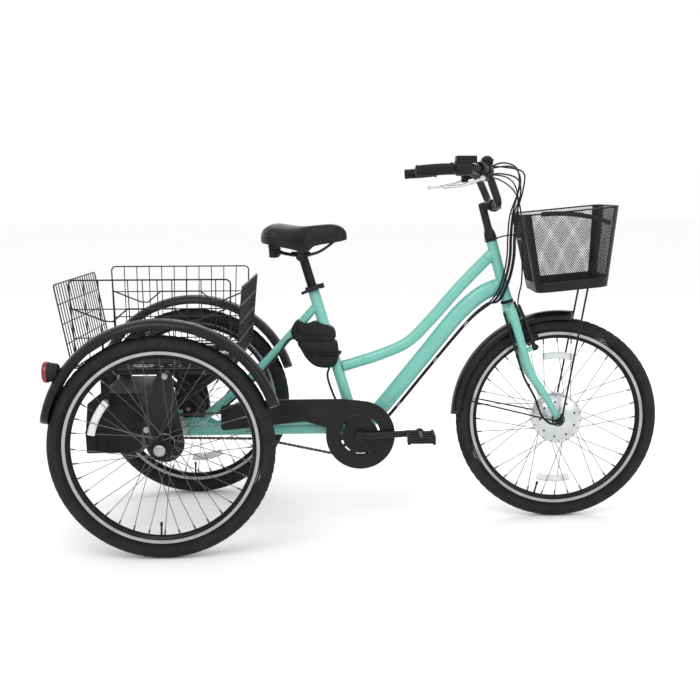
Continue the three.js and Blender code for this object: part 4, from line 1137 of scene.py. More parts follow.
def pedal(side):
    """A resin pedal: a caged body with ribbed treads, end plates and reflectors."""
    name = side_name(side)
    tip = local(JOINTS[f"pedal_{name}_spin"]["pos_m"])
    centre = Vector((tip.x, side * (PEDAL_INNER + PEDAL_OUTER) / 2, tip.z))
    piece = Piece()
    sleeve = [(6, -46.5), (9, -46), (10, -40), (8.5, -34), (8, 0), (8.5, 34), (10, 42), (8, 46), (0, 46.4)]
    piece.turn(sleeve, centre, LEFT * side, 28)
    for ahead in (-1, 1):
        tread = centre + FORWARD * ahead * 35
        piece.block((9, 92, 22), tread, 3)
        for y in range(-40, 41, 10):
            piece.block((8.4, 3.6, 25.4), tread + LEFT * y, 1)
        for y in (-43, -16, 16, 43):
            piece.block((34, 5, 17), centre + FORWARD * ahead * 19 + LEFT * y, 1.4)
    piece.make(f"pedal_{name}_fine", f"{name}_pedal", PLASTIC, [f"pedal_{name}"])
    shine = Piece()
    for ahead in (-1, 1):
        shine.block((1.4, 44, 13), centre + FORWARD * ahead * 39.2, 0.5)
    shine.make(f"pedal_{name}_reflectors", f"{name}_pedal", AMBER_REFLECTOR)


def rear_sprocket():
    piece = Piece()
    centre = Vector((0, CHAIN_Y, AXLE_Z))
    toothed_ring(piece, centre, 13, SPROCKET_R, SPROCKET_TEETH, 2.8)
    hub = [(12.9, -8.8), (17, -8.8), (17.8, -8), (17.8, 8), (17, 8.8), (12.9, 8.8)]
    piece.turn(hub, centre, LEFT, 36, closed=True)
    piece.make("rear_sprocket_fine", "sprocket", STEEL, ["rear_sprocket"])


def chain_case():
    """A moulded guard: a dished disc with arc slots, running back over the upper chain to a guide roller."""
    piece = Piece()
    OUTER_Y, DEPTH = -85.8, 12.6
    low_edge = [(436, 296.5), (428, 297), (400, 304), (369, 315.6), (330, 311), (288, 306.6), (200, 298),
                (134, 291.4)]
    back = [(128.6, 297), (128.4, 326), (128.6, 355), (134, 361.6)]
    top_edge = [(200, 369), (284, 376.6), (380, 376.8), (478, 376.6), (527, 371.4)]
    meeting = [(500, 352), (458, 330), (440, 312)]
    piece.plate(low_edge + back + top_edge + meeting, 2.6, OUTER_Y + 2.4, 1)
    rolled_edge = [(x, OUTER_Y + 7, z) for x, z in low_edge + back + top_edge]
    piece.sweep(rolled_edge, 6, 10, depth=1.3, across=LEFT)
    raised_panel = [(300, 330), (300, 356), (420, 358), (440, 340), (410, 326), (360, 332)]
    piece.plate(raised_panel, 1.4, OUTER_Y + 0.9, 0.6)
    centre = Vector((BB.x, OUTER_Y, BB.z))
    inner = [(12, 0.6), (24, 0.4), (30, 0.4), (34, 1.6), (48, 1.6), (52, 0.2), (52, 2.6), (12, 2.6)]
    outer = [(58, 0.2), (61, 0.2), (64, 2.4), (84, 2.4), (92, 1.0), (98, 1.4), (99.6, 3.4), (99.6, DEPTH),
             (97.4, DEPTH), (97, 4), (58, 2.6)]
    bridge = [(51, 0.4), (59, 0.4), (59, 2.4), (51, 2.4)]
    piece.turn(inner, centre, LEFT, 72, closed=True)
    piece.turn(outer, centre, LEFT, 96, closed=True)
    for arc in ((-65, 15), (55, 135), (175, 195), (235, 255)):
        piece.turn(bridge, centre, LEFT, 20, closed=True, arc=arc)
    x, z = GUIDE.x, GUIDE.z
    piece.bar((x, OUTER_Y + 2, z), (x, CHAIN_Y + 4.8, z), GUIDE_R - 4, 20)
    for y in (CHAIN_Y - 4.8, CHAIN_Y + 3.8):
        piece.turn([(0, 0), (GUIDE_R - 0.4, 0), (GUIDE_R - 0.4, 1), (0, 1)], (x, y, z), LEFT, 28)
    piece.block((18, 2.6, 78), (x, OUTER_Y + 2, z + 37), 1)
    piece.make("chain_case_fine", "frame", PLASTIC, ["chain_case"])


drive_chain()
crankset()
pedal(1)
pedal(-1)
rear_sprocket()
chain_case()


# ---- fork and front axle ----
LEG_Y = 55
FORK_LEG = [(966, 626), (981, 580), (1000, 515), (1025, 443), (1063, 384), (1100, 318)]
BOSS = Vector((1003, 0, 507))
ARM_AXIS = Vector(JOINTS["brake_arm_left_close"]["axis"]).normalized()
PIVOT_REACH = 34
ARM_TOP = Vector((-47, 0, 123))


def boss_point(side, reach):
    """A point on a brake arm's pivot axis, this far ahead of the leg's middle."""
    return BOSS + LEFT * side * 50 + ARM_AXIS * reach


def fork():
    """The steerer, the crown with its arch, and two raked legs with dropouts and brake bosses."""
    piece = Piece()
    piece.bar(steer_point(626), steer_point(828.5), 12.6, 28)
    crown = [(0, -2), (15, -1), (18, 2), (18, 8), (17.2, 12), (16.8, 17.2), (12.7, 17.2)]
    piece.turn(crown, steer_point(627), STEER_UP, 36)
    arch = [(LEG_Y, 624), (LEG_Y - 12, 629), (20, 630)]
    arch += [(-y, z) for y, z in arch[::-1]]
    piece.sweep(spline([(966, -y, z) for y, z in arch]), 13, 22, depth=13.5, across=UP)
    dropout = [(1092, 322), (1108, 327.6), (1123.6, 304), (1119.6, 288.4), (1104, 286.4), (1096.4, 300)]
    for side in (-1, 1):
        y = side * LEG_Y
        leg = spline([(x, y, z) for x, z in FORK_LEG])
        piece.sweep(leg, lambda t: 14.4 - 5.4 * t, 24)
        piece.turn([(0, 14.4), (7, 12.6), (12.4, 7.2), (14.5, 0), (14.5, -4)], leg[0], STEER_UP, 24)
        piece.plate(dropout, 6.6, y, 1.4)
        piece.bar(boss_point(side, 0), boss_point(side, 24), 7, 18)
        piece.bar(boss_point(side, 20), boss_point(side, PIVOT_REACH + 10), 4, 14)
    piece.make("fork_fine", "steering", MINT, ["fork"])


def front_axle():
    """The axle with its spacers, washers and domed nuts."""
    piece = Piece()
    for side in (-1, 1):
        out = LEFT * side
        piece.bar(FRONT_AXLE, FRONT_AXLE + out * 75.6, 5.7, 20)
        piece.turn([(5.8, 41), (8.4, 41), (8.4, 50.8), (5.8, 50.8)], FRONT_AXLE, out, 24)
        piece.turn([(5.8, 64), (10.8, 64), (10.8, 65.4), (5.8, 65.4)], FRONT_AXLE, out, 28)
        piece.turn([(10.6, 65.5), (10.8, 66), (10.8, 71), (9, 73), (7, 75), (0, 76)], FRONT_AXLE, out, 6)
    piece.make("front_axle_fine", "steering", COAT, ["front_axle"])


def brake_arm(side):
    """A V-brake arm with its pad, cartridge post and pivot bolt."""
    name = side_name(side)
    piece = Piece()
    pivot = boss_point(side, PIVOT_REACH)
    head = pivot + ARM_TOP
    head.y = side * 46
    bow = pivot.lerp(head, 0.5) + ARM_AXIS * 2
    piece.sweep(spline([pivot, bow, head]), lambda t: 7.4 - 2 * t, 16, depth=lambda t: 6 - 1.6 * t)
    barrel = [(4.8, -7), (8.4, -7), (9, -6), (9, 6), (8.4, 7), (4.8, 7)]
    piece.turn(barrel, pivot, ARM_AXIS, 28, closed=True)
    piece.turn([(0, 7), (4.7, 7), (5.6, 8), (5.6, 10.4), (4.6, 11.4), (0, 11.6)], pivot, ARM_AXIS, 20)
    shoe = pivot.lerp(head, 0.16)
    piece.bar((shoe.x, side * 20, shoe.z), (shoe.x, side * 47.5, shoe.z), 3.8, 14)
    piece.bolt((shoe.x, side * 51, shoe.z), LEFT * side, 4, 3.4)
    piece.bar(head, head - LEFT * side * 6, 3.2, 12)
    piece.make(f"brake_arm_{name}_fine", f"{name}_brake_arm", COAT, [f"brake_arm_{name}"])
    pad = Piece()
    tilt = math.degrees(math.atan2(ARM_AXIS.z, ARM_AXIS.x))
    pad.block((51, 8.2, 9.6), (shoe.x, side * 18, shoe.z), 2.2, (-tilt, "Y"))
    pad.make(f"brake_pad_{name}", f"{name}_brake_arm", GRIP)


fork()
front_axle()
brake_arm(1)
brake_arm(-1)


# ---- stem, handlebar and controls ----
CLAMP = Vector((917, 0, 928))
BAR_R = 11.1
GRIP_END = Vector((679, 290, 1022))
GRIP_FRONT = Vector((790, 281, 1030))
BAR_REST = [(842, 246, 1030), (876, 186, 1022), (889, 140, 1006), (902, 124, 975), (914, 114, 944),
            (917, 84, 930)]


def mirrored(point, side):
    """A point given for the left side, on this side."""
    x, y, z = point
    return Vector((x, side * y, z))


def on_grip(side, t):
    """A point of the grip's axis, t of the way from the bar's end to the grip's front."""
    return mirrored(GRIP_END.lerp(GRIP_FRONT, t), side)


def bar_points():
    """The handlebar's centre line from its left end to its right end."""
    half = [on_grip(1, t) for t in (0, 0.45, 0.9, 1)] + BAR_REST + [(CLAMP.x, 30, CLAMP.z)]
    return [mirrored(p, 1) for p in half] + [mirrored(p, -1) for p in half[::-1]]


def stem():
    """A tapered quill with a short arm to the split clamp, and its bolts."""
    piece = Piece()
    base, top = steer_point(831.5), steer_point(924)
    rise = (top - base).length
    quill = [(13.4, 0.4), (17.4, 0.4), (18, 1.4), (17.6, 8), (16, 18), (12.6, 28), (11.6, 36),
             (11.5, rise - 4), (11.4, rise + 6), (9, rise + 11), (0, rise + 12.6)]
    piece.turn(quill, base, STEER_UP, 36)
    piece.sweep([steer_point(920), steer_point(926).lerp(CLAMP, 0.5), CLAMP], 11.6, 22)
    clamp = [(13.7, -22), (17, -22), (18, -21), (18, 21), (17, 22), (13.7, 22)]
    piece.turn(clamp, CLAMP, LEFT, 40, closed=True)
    piece.block((9, 30, 14), CLAMP + Vector((17, 0, -3)), 2)
    piece.make("stem_fine", "steering", COAT, ["stem"])
    bolts = Piece()
    bolts.turn([(0, 2.4), (4, 2.2), (5, 0.6), (5, -1)], top + STEER_UP * 11, STEER_UP, 20)
    for y in (-8, 8):
        bolts.bolt(CLAMP + Vector((17, y, 4)), UP, 3, 2.6)
    bolts.make("stem_bolts", "steering", STEEL)


def handlebar():
    """The bent bar, with the thicker sleeve that the stem clamps."""
    piece = Piece()
    piece.sweep(spline(bar_points(), 7), BAR_R, 22)
    piece.turn([(11, -34), (12.6, -32), (12.6, 32), (11, 34)], CLAMP, LEFT, 32)
    piece.make("handlebar_fine", "steering", COAT, ["handlebar"])


def grip(side, name, node, body):
    """A ribbed rubber grip with a flange at its inner end and a closed outer end."""
    piece = Piece()
    start, end = on_grip(side, -0.05), on_grip(side, 0.86)
    length = (end - start).length
    RIBS = 17
    pitch = (length - 22) / RIBS
    profile = [(0, 0.4), (10, 0.5), (14.4, 2), (15.8, 5)]
    for k in range(RIBS):
        place = 9 + pitch * k
        swell = 14.5 + 0.9 * math.sin(math.pi * (k + 0.5) / RIBS)
        profile += [(swell, place), (swell, place + pitch * 0.55), (swell - 0.9, place + pitch * 0.7)]
    profile += [(14.4, length - 9), (15.9, length - 6), (15.9, length - 1.4), (14.8, length), (12.2, length)]
    piece.turn(profile, start, end - start, 32)
    piece.make(name, body, GRIP, [node])


def throttle_housing():
    """The collar inside the twist grip, with the display case, its window and its three keys."""
    piece = Piece()
    start, end = on_grip(-1, 0.9), on_grip(-1, 1.28)
    length = (end - start).length
    collar = [(12.4, 0), (19, 0), (20.6, 1.6), (20.8, length * 0.4), (20.8, length * 0.6),
              (20.6, length - 1.6), (19, length), (12.4, length)]
    piece.turn(collar, start, end - start, 36, closed=True)
    piece.block((55, 45, 19), (808, -274, 1052), 4)
    piece.block((20, 9, 7), (800, -255, 1042), 2)
    piece.make("throttle_housing_fine", "steering", PLASTIC, ["throttle_housing"])
    glass = Piece()
    glass.block((40, 31, 1.4), (806, -275, 1061), 0.5)
    glass.make("display_window", "steering", GLASS)
    keys = Piece()
    for k in range(3):
        keys.turn([(0, 1.6), (3, 1.4), (3.6, 0.4), (3.6, -0.6)], (832, -285 + 10 * k, 1060.2), UP, 16)
    keys.make("display_keys", "steering", GRIP)


def bar_clamp(piece, a, b, bore, flank, edge):
    """A collar round the handlebar from a to b. Its ends slope from the bore to the flank over the edge."""
    length = (b - a).length
    collar = [(bore, 0), (flank, edge), (16.8, 3), (16.8, length - 3), (flank, length - edge), (bore, length)]
    piece.turn(collar, a, b - a, 32, closed=True)


PIVOT = Vector((856, 240, 1003))


def lever_bracket(side):
    """A brake lever's clamp, the fork that holds its pivot, and the tube that its cable leaves by."""
    name = "brake_clamp_" + side_name(side)
    piece = Piece()
    bar_clamp(piece, mirrored((846, 244, 1031), side), mirrored((862, 216, 1028), side), 12.2, 15.8, 0.6)
    for offset in (-6.6, 6.6):
        piece.block((21, 4.6, 33), (PIVOT.x + 2, side * (PIVOT.y - 9) + offset, PIVOT.z + 9), 1.8)
    piece.bar((870, side * 232, 1012), (896, side * 222, 1014), 4.2, 16, end=3.4)
    piece.make(name + "_fine", "steering", COAT, [name])


def brake_lever(side):
    """A curved alloy lever with a ball end and a round pivot boss."""
    name = side_name(side)
    piece = Piece()
    path = [mirrored(p, side) for p in ((PIVOT.x, PIVOT.y + 1, PIVOT.z), (826, 258, 992), (790, 276, 984),
                                        (752, 290, 980))]
    piece.sweep(spline(path), lambda t: 5.2 - 0.6 * math.sin(math.pi * t), 16, depth=lambda t: 4.6 - 0.5 * t)
    piece.turn([(0, -6), (4, -4.4), (5.8, 0), (4, 4.4), (0, 6)], path[-1], path[-1] - path[-2], 20)
    boss = [(0, -1.4), (7.4, -1.4), (8, -0.6), (8, 4), (7.4, 4.8), (0, 4.8)]
    piece.turn(boss, mirrored(PIVOT, side), LEFT * side, 24)
    piece.make(f"brake_lever_{name}_fine", f"{name}_brake_lever", ALLOY, [f"brake_lever_{name}"])


def shifter_pod():
    """The round gear lever pod beside the right brake clamp."""
    piece = Piece()
    centre = Vector((874, -188, 1048))
    dome = [(0, -17.6), (11, -17.4), (14.6, -15), (16.4, -9), (16.8, 0), (16.8, 8), (15.6, 13), (12, 16.6),
            (0, 17.6)]
    piece.turn(dome, centre, LEFT, 36)
    bar_clamp(piece, Vector((868, -204, 1026)), Vector((880, -176, 1020)), 12.3, 16, 0.5)
    piece.block((10, 22, 6), centre + Vector((12, 0, 5)), 2)
    piece.make("shifter_pod_fine", "steering", PLASTIC, ["shifter_pod"])


stem()
handlebar()
grip(1, "grip_left_fine", "grip_left", "steering")
grip(-1, "twist_grip_fine", "twist_grip", "throttle")
throttle_housing()
for hand in (1, -1):
    lever_bracket(hand)
    brake_lever(hand)
shifter_pod()


# ---- cables ----
def cables():
    """Five cables that loop forward from the controls, fall past the head tube and follow the down tube."""
    ROUTES = [  # from each control to the head tube
        [(876, -150, 1030), (920, -140, 1046), (968, -96, 1034), (984, -52, 990)],
        [(880, -172, 1036), (930, -150, 1034), (988, -100, 1020), (996, -46, 972)],
        [(868, -226, 1010), (900, -206, 1016), (962, -150, 1004), (986, -62, 958)],
        [(868, 226, 1010), (904, 200, 1018), (972, 120, 1010), (990, 30, 970)],
        [(884, 180, 1024), (926, 150, 1036), (984, 80, 1040), (996, 0, 994)],
    ]
    # how far each cable lies ahead of, to the left of and above the line that the bunch follows
    PLACES = [(-8, -5, -3), (3, -2, 1), (-3, 4, 3), (9, 7, 0), (-13, 9, 0)]
    FALL = [(976, -30, 900), (970, -32, 840), (968, -33, 780), (957, -32, 722), (938, -28, 672),
            (921, -14, 647)]
    TAIL = [(905, 0, 641), (860, 0, 606), (749, 0, 478), (640, 0, 345), (604, 0, 303)]
    STANDS_FOR = [["control_cables"], ["frame_cables"], [], [], []]
    for k, (route, (ahead, aside, up), nodes) in enumerate(zip(ROUTES, PLACES, STANDS_FOR)):
        fall = [Vector(p) + Vector((ahead, aside, 0)) for p in FALL]
        tail = [Vector(p) + Vector((0, aside * 0.8, up)) for p in TAIL]
        piece = Piece()
        piece.sweep(spline(route + fall + tail), 2.3, 10)
        made = piece.make(f"cable_{k + 1}", None, CABLE, nodes)
        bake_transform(made)


def motor_cable():
    """The motor's cable up the right fork leg, with three ties."""
    piece = Piece()
    route = [(1098, -82, 297), (1080, -80, 298), (1058, -66, 316), (1036, -56, 372), (1004, -55, 432),
             (980, -55, 506), (958, -55, 574), (943, -54, 622)]
    piece.sweep(spline(route), 3.4, 14)
    for x, z in ((1018, 408), (984, 492), (956, 582)):
        piece.turn([(3.6, -4), (4.6, -3), (4.6, 3), (3.6, 4)], (x, -55, z), (-24, 0, 74), 14)
    piece.make("motor_cable_fine", "steering", CABLE, ["motor_cable"])


def brake_cable():
    """The front brake's cable, from the left lever down to the bent guide tube between its two arms."""
    piece = Piece()
    top = boss_point(0, PIVOT_REACH) + ARM_TOP
    bend = top + Vector((4, 0, 8))
    piece.sweep(spline([top + LEFT * -30, top + Vector((2, -18, 4)), bend]), 2.2, 10)
    route = [bend, top + Vector((9, 10, 30)), (1003, 8, 700), (1003, 4, 828), (1000, 6, 900), (988, 40, 962),
             (948, 124, 1004), (900, 196, 1012), (868, 222, 1006)]
    piece.sweep(spline(route), 2.3, 10)
    piece.make("front_brake_cable", "steering", CABLE)


cables()
motor_cable()
brake_cable()


# ---- front basket ----
BASKET_FOOT = Vector((1030, 0, 681))
BASKET_TILT = math.radians(5.5)
BASKET_HEIGHT = 225
BASKET_BOTTOM = (0, 208, 118)
BASKET_TOP = (-24, 252, 152)
CORNER = 0.34
BAND_LOW = 26
CORNER_BANDS = ((0.07, 0.13), (0.37, 0.42), (0.58, 0.63), (0.87, 0.93))


def rounded_square(share):
    """A point on a round-cornered square of half width 1. Share runs once round from the middle of a side."""
    quarter, part = divmod(share % 1 * 4, 1)
    flat, arc = 1 - CORNER, math.pi / 2 * CORNER
    along = part * (2 * flat + arc)
    if along < flat:
        place = Vector((1, along))
    elif along < flat + arc:
        angle = (along - flat) / CORNER
        place = Vector((flat + CORNER * math.cos(angle), flat + CORNER * math.sin(angle)))
    else:
        place = Vector((2 * flat + arc - along, 1))
    return Matrix.Rotation(quarter * math.pi / 2, 2) @ place


def basket_point(share, level, inset=0.0):
    """A point on the tub's wall: share runs round it from the middle of its front, level is the height.
    BASKET_BOTTOM and BASKET_TOP are its rear edge, front edge and half width there."""
    place = rounded_square(share)
    t = level / BASKET_HEIGHT
    rear, front, half = (a + (b - a) * t for a, b in zip(BASKET_BOTTOM, BASKET_TOP))
    ahead = (rear + front) / 2 + place.x * ((front - rear) / 2 - inset)
    cos, sin = math.cos(BASKET_TILT), math.sin(BASKET_TILT)
    across = place.y * (half - inset)
    return BASKET_FOOT + Vector((ahead * cos - level * sin, across, ahead * sin + level * cos))


def is_corner(share):
    """Says whether a place round the tub lies on one of its four solid corners."""
    return any(start < share < stop for start, stop in CORNER_BANDS)


def basket_bands():
    """The solid bands: round the foot, up the four corners, and the floor."""
    piece = Piece()
    COLUMNS, ROWS = 160, 18
    OUTSIDE, INSIDE = 0.4, 2.6

    def solid(column, row):
        level = BASKET_HEIGHT * (row + 0.5) / ROWS
        return row < ROWS and (level < BAND_LOW or is_corner((column % COLUMNS + 0.5) / COLUMNS))

    for column in range(COLUMNS):
        for row in range(ROWS):
            if not solid(column, row):
                continue
            corners = [((column + i) / COLUMNS, BASKET_HEIGHT * (row + j) / ROWS)
                       for i, j in ((0, 0), (1, 0), (1, 1), (0, 1))]
            points = [basket_point(share, level, OUTSIDE) for share, level in corners]
            points += [basket_point(share, level, INSIDE) for share, level in corners]
            faces = [(0, 1, 2, 3), (7, 6, 5, 4)]
            if not solid(column + 1, row):
                faces.append((1, 5, 6, 2))
            if not solid(column - 1, row):
                faces.append((4, 0, 3, 7))
            if row + 1 < ROWS and not solid(column, row + 1):
                faces.append((3, 2, 6, 7))
            piece.add(points, faces)
    for level in (0.3, 2.8):
        piece.add([basket_point(i / COLUMNS, level, 0.6) for i in range(COLUMNS)], [tuple(range(COLUMNS))])
    piece.make("front_basket_bands", "steering", PLASTIC, ["front_basket"], crease=40)


def basket_mesh():
    """Expanded metal in the four windows: diamonds of fine wire."""
    piece = Piece()
    COLUMNS, ROWS = 130, 25
    low, high = BAND_LOW - 4, BASKET_HEIGHT - 2
    levels = [low + (high - low) * row / ROWS for row in range(ROWS + 1)]
    for column in range(COLUMNS):
        if is_corner((column + 0.5) / COLUMNS):
            continue
        near, far = column / COLUMNS, (column + 1) / COLUMNS
        for below, above in zip(levels, levels[1:]):
            piece.bar(basket_point(near, below, 1.6), basket_point(far, above, 1.6), 0.56, 4)
            piece.bar(basket_point(far, below, 1.6), basket_point(near, above, 1.6), 0.56, 4)
    piece.make("front_basket_mesh", "steering", COAT)


def basket_rims():
    """The wire hoops at the rim and above the foot, and the carrying strap on the right side."""
    piece = Piece()
    COUNT = 96
    for level, radius, inset in ((BASKET_HEIGHT - 1.6, 2.2, 2.6), (BAND_LOW, 1.5, 1.4)):
        piece.sweep([basket_point(i / COUNT, level, inset) for i in range(COUNT)], radius, 10, closed=True)
    piece.make("front_basket_rims", "steering", COAT)
    strap = Piece()
    route = [(0.66, 2, 1), (0.70, 4, 0.8), (0.74, 9, 0.5), (0.78, 18, 0.5), (0.82, 30, 1), (0.86, 46, 1.6)]
    points = [basket_point(share, BASKET_HEIGHT - drop, inset) - LEFT * 1.4 for share, drop, inset in route]
    strap.sweep(spline(points), 1.8, 12, depth=6.5)
    strap.make("front_basket_handle", "steering", CABLE)


def basket_supports():
    """The bracket from the headset to the basket's back, and the two stays from the axle to its floor."""
    piece = Piece()
    ring = [(13.4, -2.2), (19, -2.2), (19.8, -1.4), (19.8, 1.4), (19, 2.2), (13.4, 2.2)]
    piece.turn(ring, steer_point(828.3), STEER_UP, 40, closed=True)
    arm = [(923, 0, 831.6), (936, 0, 836.4), (980, 0, 842), (994.6, 0, 832)]
    piece.sweep(spline(arm), 2, 12)
    piece.bar((994.6, -50, 832), (994.6, 50, 832), 3.9, 16)
    piece.make("front_basket_bracket_fine", "steering", COAT, ["front_basket_bracket"])
    stays = Piece()
    eye = [(6.7, 0), (10.8, 0), (10.8, 1.8), (6.7, 1.8)]
    for side in (-1, 1):
        out = LEFT * side
        stays.turn(eye, FRONT_AXLE + out * 61.7, out, 28, closed=True)
        stays.plate([(1108, 306), (1118.6, 306), (1123.4, 323), (1114.6, 323)], 1.8, side * 62.6, 0.4)
        stays.bar((1118, side * 62.6, 317), (1186, side * 60, 692.4), 2.9, 14)
    stays.bar((1186, -60, 692.6), (1186, 60, 692.6), 2.9, 14)
    stays.make("front_basket_stays_fine", "steering", COAT, ["front_basket_stays"])


basket_bands()
basket_mesh()
basket_rims()
basket_supports()


# ---- saddle ----
SADDLE_REAR, SADDLE_NOSE = 246, 492
TAIL_HALF, NOSE_HALF = 103, 26
CREST = [(0, 847), (0.03, 861), (0.1, 874), (0.19, 878.6), (0.3, 876), (0.46, 871), (0.66, 874), (0.8, 876.2),
         (0.89, 873.4), (0.95, 866.4), (0.985, 857), (1, 848)]
SKIRT = [(0, 826), (0.15, 820), (0.28, 813), (0.37, 807), (0.44, 800), (0.51, 795), (0.56, 800), (0.61, 813),
         (0.7, 818), (0.8, 822), (0.91, 826), (1, 831)]


def smooth(s):
    """Rises from 0 to 1 with level ends."""
    return s * s * (3 - 2 * s)


def saddle_half_width(t):
    """Half the saddle's width at a fraction of the way from its tail to its nose."""
    WIDEST, NARROWED, NOSE_START = 0.2, 0.62, 0.84
    if t < WIDEST:
        return max(TAIL_HALF * math.sqrt(max(0.0, 1 - (1 - t / WIDEST) ** 2.6)), 2.0)
    narrowing = smooth(min((t - WIDEST) / (NARROWED - WIDEST), 1))
    half = TAIL_HALF + (NOSE_HALF - TAIL_HALF) * narrowing
    rounding = max(t - NOSE_START, 0) / (1 - NOSE_START)
    return max(half * math.sqrt(max(0.0, 1 - rounding ** 2.2)), 2.0)


def saddle_top(t):
    """The height of the crown: a raised tail, a dip and a level nose, with no kink at CREST's points."""
    last = len(CREST) - 1
    k = next(i for i in range(last) if t <= CREST[i + 1][0] or i == last - 1)
    (a, za), (b, zb) = CREST[k], CREST[k + 1]
    (before, z_before), (after, z_after) = CREST[max(k - 1, 0)], CREST[min(k + 2, last)]
    s = (t - a) / (b - a)
    leave = (zb - z_before) / (b - before) * (b - a)
    arrive = (z_after - za) / (after - a) * (b - a)
    return za + (zb - za) * smooth(s) + leave * s * (1 - s) ** 2 - arrive * s * s * (1 - s)


def saddle_skirt(t):
    """The height of the lower edge of the saddle's sides."""
    for (a, za), (b, zb) in zip(SKIRT, SKIRT[1:]):
        if t <= b:
            return za + (zb - za) * (t - a) / (b - a)
    return SKIRT[-1][1]


def saddle_section(t):
    """One ring of the padding: a domed top with a channel, sides that roll down, and a hollow underside."""
    AROUND, HOLLOW_Z, WALL, CHANNEL = 40, 834, 5, 4
    half, top, skirt = saddle_half_width(t), saddle_top(t), saddle_skirt(t)
    ring = []
    for j in range(AROUND + 1):
        lean = math.pi * j / AROUND
        side, lift = math.cos(lean), math.sin(lean)
        wide = math.copysign(abs(side) ** 0.7, side)
        fade = max(0.0, math.sin(math.pi * min(1, t * 1.3)))
        channel = CHANNEL * math.exp(-((side / 0.14) ** 2)) * fade
        ring.append((half * wide, skirt + 4 + (top - skirt - 4) * lift ** 0.62 - channel * lift**4))
    inside = max(half - WALL, half * 0.5)
    hem = [(half - 1, skirt + 0.6), (half - 2.4, skirt), (inside, skirt + 1), (inside, HOLLOW_Z)]
    return ring + [(-y, z) for y, z in hem] + [(0, HOLLOW_Z + 3)] + hem[::-1]


def saddle():
    """A padded top with a pressure channel, and sides that hang round the frame."""
    piece = Piece()
    SECTIONS, SEAM_POINT = 64, 2
    rings, seam = [], []
    for i in range(SECTIONS + 1):
        t = (1 - math.cos(math.pi * i / SECTIONS)) / 2
        x = SADDLE_REAR + (SADDLE_NOSE - SADDLE_REAR) * t
        ring = [Vector((x, y, z)) for y, z in saddle_section(t)]
        rings.append(ring)
        seam.append(ring[SEAM_POINT] + LEFT * 0.3)
    piece.loft(rings)
    made = piece.make("saddle_padding", "seat", VINYL, ["saddle"], crease=60)
    piping = Piece()
    piping.sweep(seam + [mirrored(p, -1) for p in seam[::-1]], 1.2, 8, closed=True)
    piping.make("saddle_piping", "seat", GRIP)


def saddle_frame():
    """Two rails, two ribbed rubber bumpers under the tail, and the clamp on the post."""
    piece = Piece()
    clamp_x, clamp_z = seat_point(790).x - 4, 790
    bumper = [(0, 0), (12, 0), (14.4, 1.5), (15, 5), (13.4, 8), (15.4, 12), (13.8, 16), (16, 21), (14.4, 25),
              (16.6, 30), (16.8, 34), (0, 34.4)]
    disc = [(0, -14), (10, -14), (13, -12), (13.4, 0), (0, 0)]
    nut = [(0, 0), (9, 0), (10, 1.4), (9, 4), (0, 5)]
    for side in (-1, 1):
        out = LEFT * side
        rail = [(284, side * 30, 806), (312, side * 22, 792), (400, side * 22, 792), (470, side * 8, 836)]
        piece.sweep(spline(rail), 3.4, 14)
        piece.turn(bumper, (284, side * 30, 783), (0, side * 4, 34), 28)
        piece.turn(disc, (clamp_x, side * 24, clamp_z - 6), out, 28)
        piece.turn(nut, (clamp_x, side * 28, clamp_z + 2), out, 6)
    piece.block((56, 23, 14), (clamp_x, 0, clamp_z), 3)
    piece.bar((clamp_x, -33.6, clamp_z + 2), (clamp_x, 33.6, clamp_z + 2), 5.8, 18)
    piece.block((15, 25, 7), (470, 0, 838), 2)
    piece.block((21, 88, 7), (284, 0, 815), 2)
    piece.make("saddle_frame_fine", "seat", COAT, ["saddle_frame"])


def seat_post():
    """The round post, chamfered at its top."""
    piece = Piece()
    low, high = seat_point(520), seat_point(781)
    length = (high - low).length
    profile = [(0, 0), (13, 0), (13.5, 1), (13.5, length - 6), (12.4, length - 1), (0, length)]
    piece.turn(profile, low, SEAT_UP, 40)
    piece.make("seat_post_fine", "seat", ANODISED, ["seat_post"])


saddle()
saddle_frame()
seat_post()


# ---- rear basket ----
SIDE_LEAN = math.radians(5.3)
FRONT_LEAN = math.radians(5.5)
REAR_LEAN = math.radians(-10.3)
SIDE_HINGE = local(JOINTS["basket_left_fold"]["pos_m"])
FRONT_HINGE = local(JOINTS["basket_front_fold"]["pos_m"])
REAR_HINGE = local(JOINTS["basket_rear_fold"]["pos_m"])


def wire_panel(name, node, body, place, foot_width, top_width, height, uprights, rails, brace=False):
    """A welded wire panel: a thicker frame with rounded top corners, fine uprights and cross wires."""
    piece = Piece()

    def half(v):
        return (foot_width + (top_width - foot_width) * v / height) / 2

    CORNER_R = 13
    route = [place(-half(0), 0)]
    for side, start in ((-1, 180), (1, 90)):
        cu, cv = side * (half(height) - CORNER_R), height - CORNER_R
        for k in range(7):
            angle = math.radians(start - 15 * k)
            route.append(place(cu + CORNER_R * math.cos(angle), cv + CORNER_R * math.sin(angle)))
    route.append(place(half(0), 0))
    piece.sweep(route, 2.1, 10)
    piece.bar(place(-half(0), 0), place(half(0), 0), 2, 10)
    for i in range(1, uprights):
        share = 2 * i / uprights - 1
        over = abs(share * half(height)) - (half(height) - CORNER_R)
        top = height if over <= 0 else height - CORNER_R + math.sqrt(max(CORNER_R**2 - over**2, 0))
        piece.bar(place(share * half(0), 0), place(share * half(top), top - 1), 1.5, 6)
    for i in range(1, rails + 1):
        v = height * i / (rails + 1)
        piece.bar(place(-half(v), v), place(half(v), v), 1.6, 8)
    if brace:
        side = half(height * 0.67) - 2
        dip = [(side, 158), (124, 124), (102, 122), (62, 156)]
        zigzag = [(-u, v) for u, v in dip] + dip[::-1]
        piece.sweep([place(u, v) for u, v in zigzag], 2.3, 8)
    piece.make(name, body, COAT, [node])


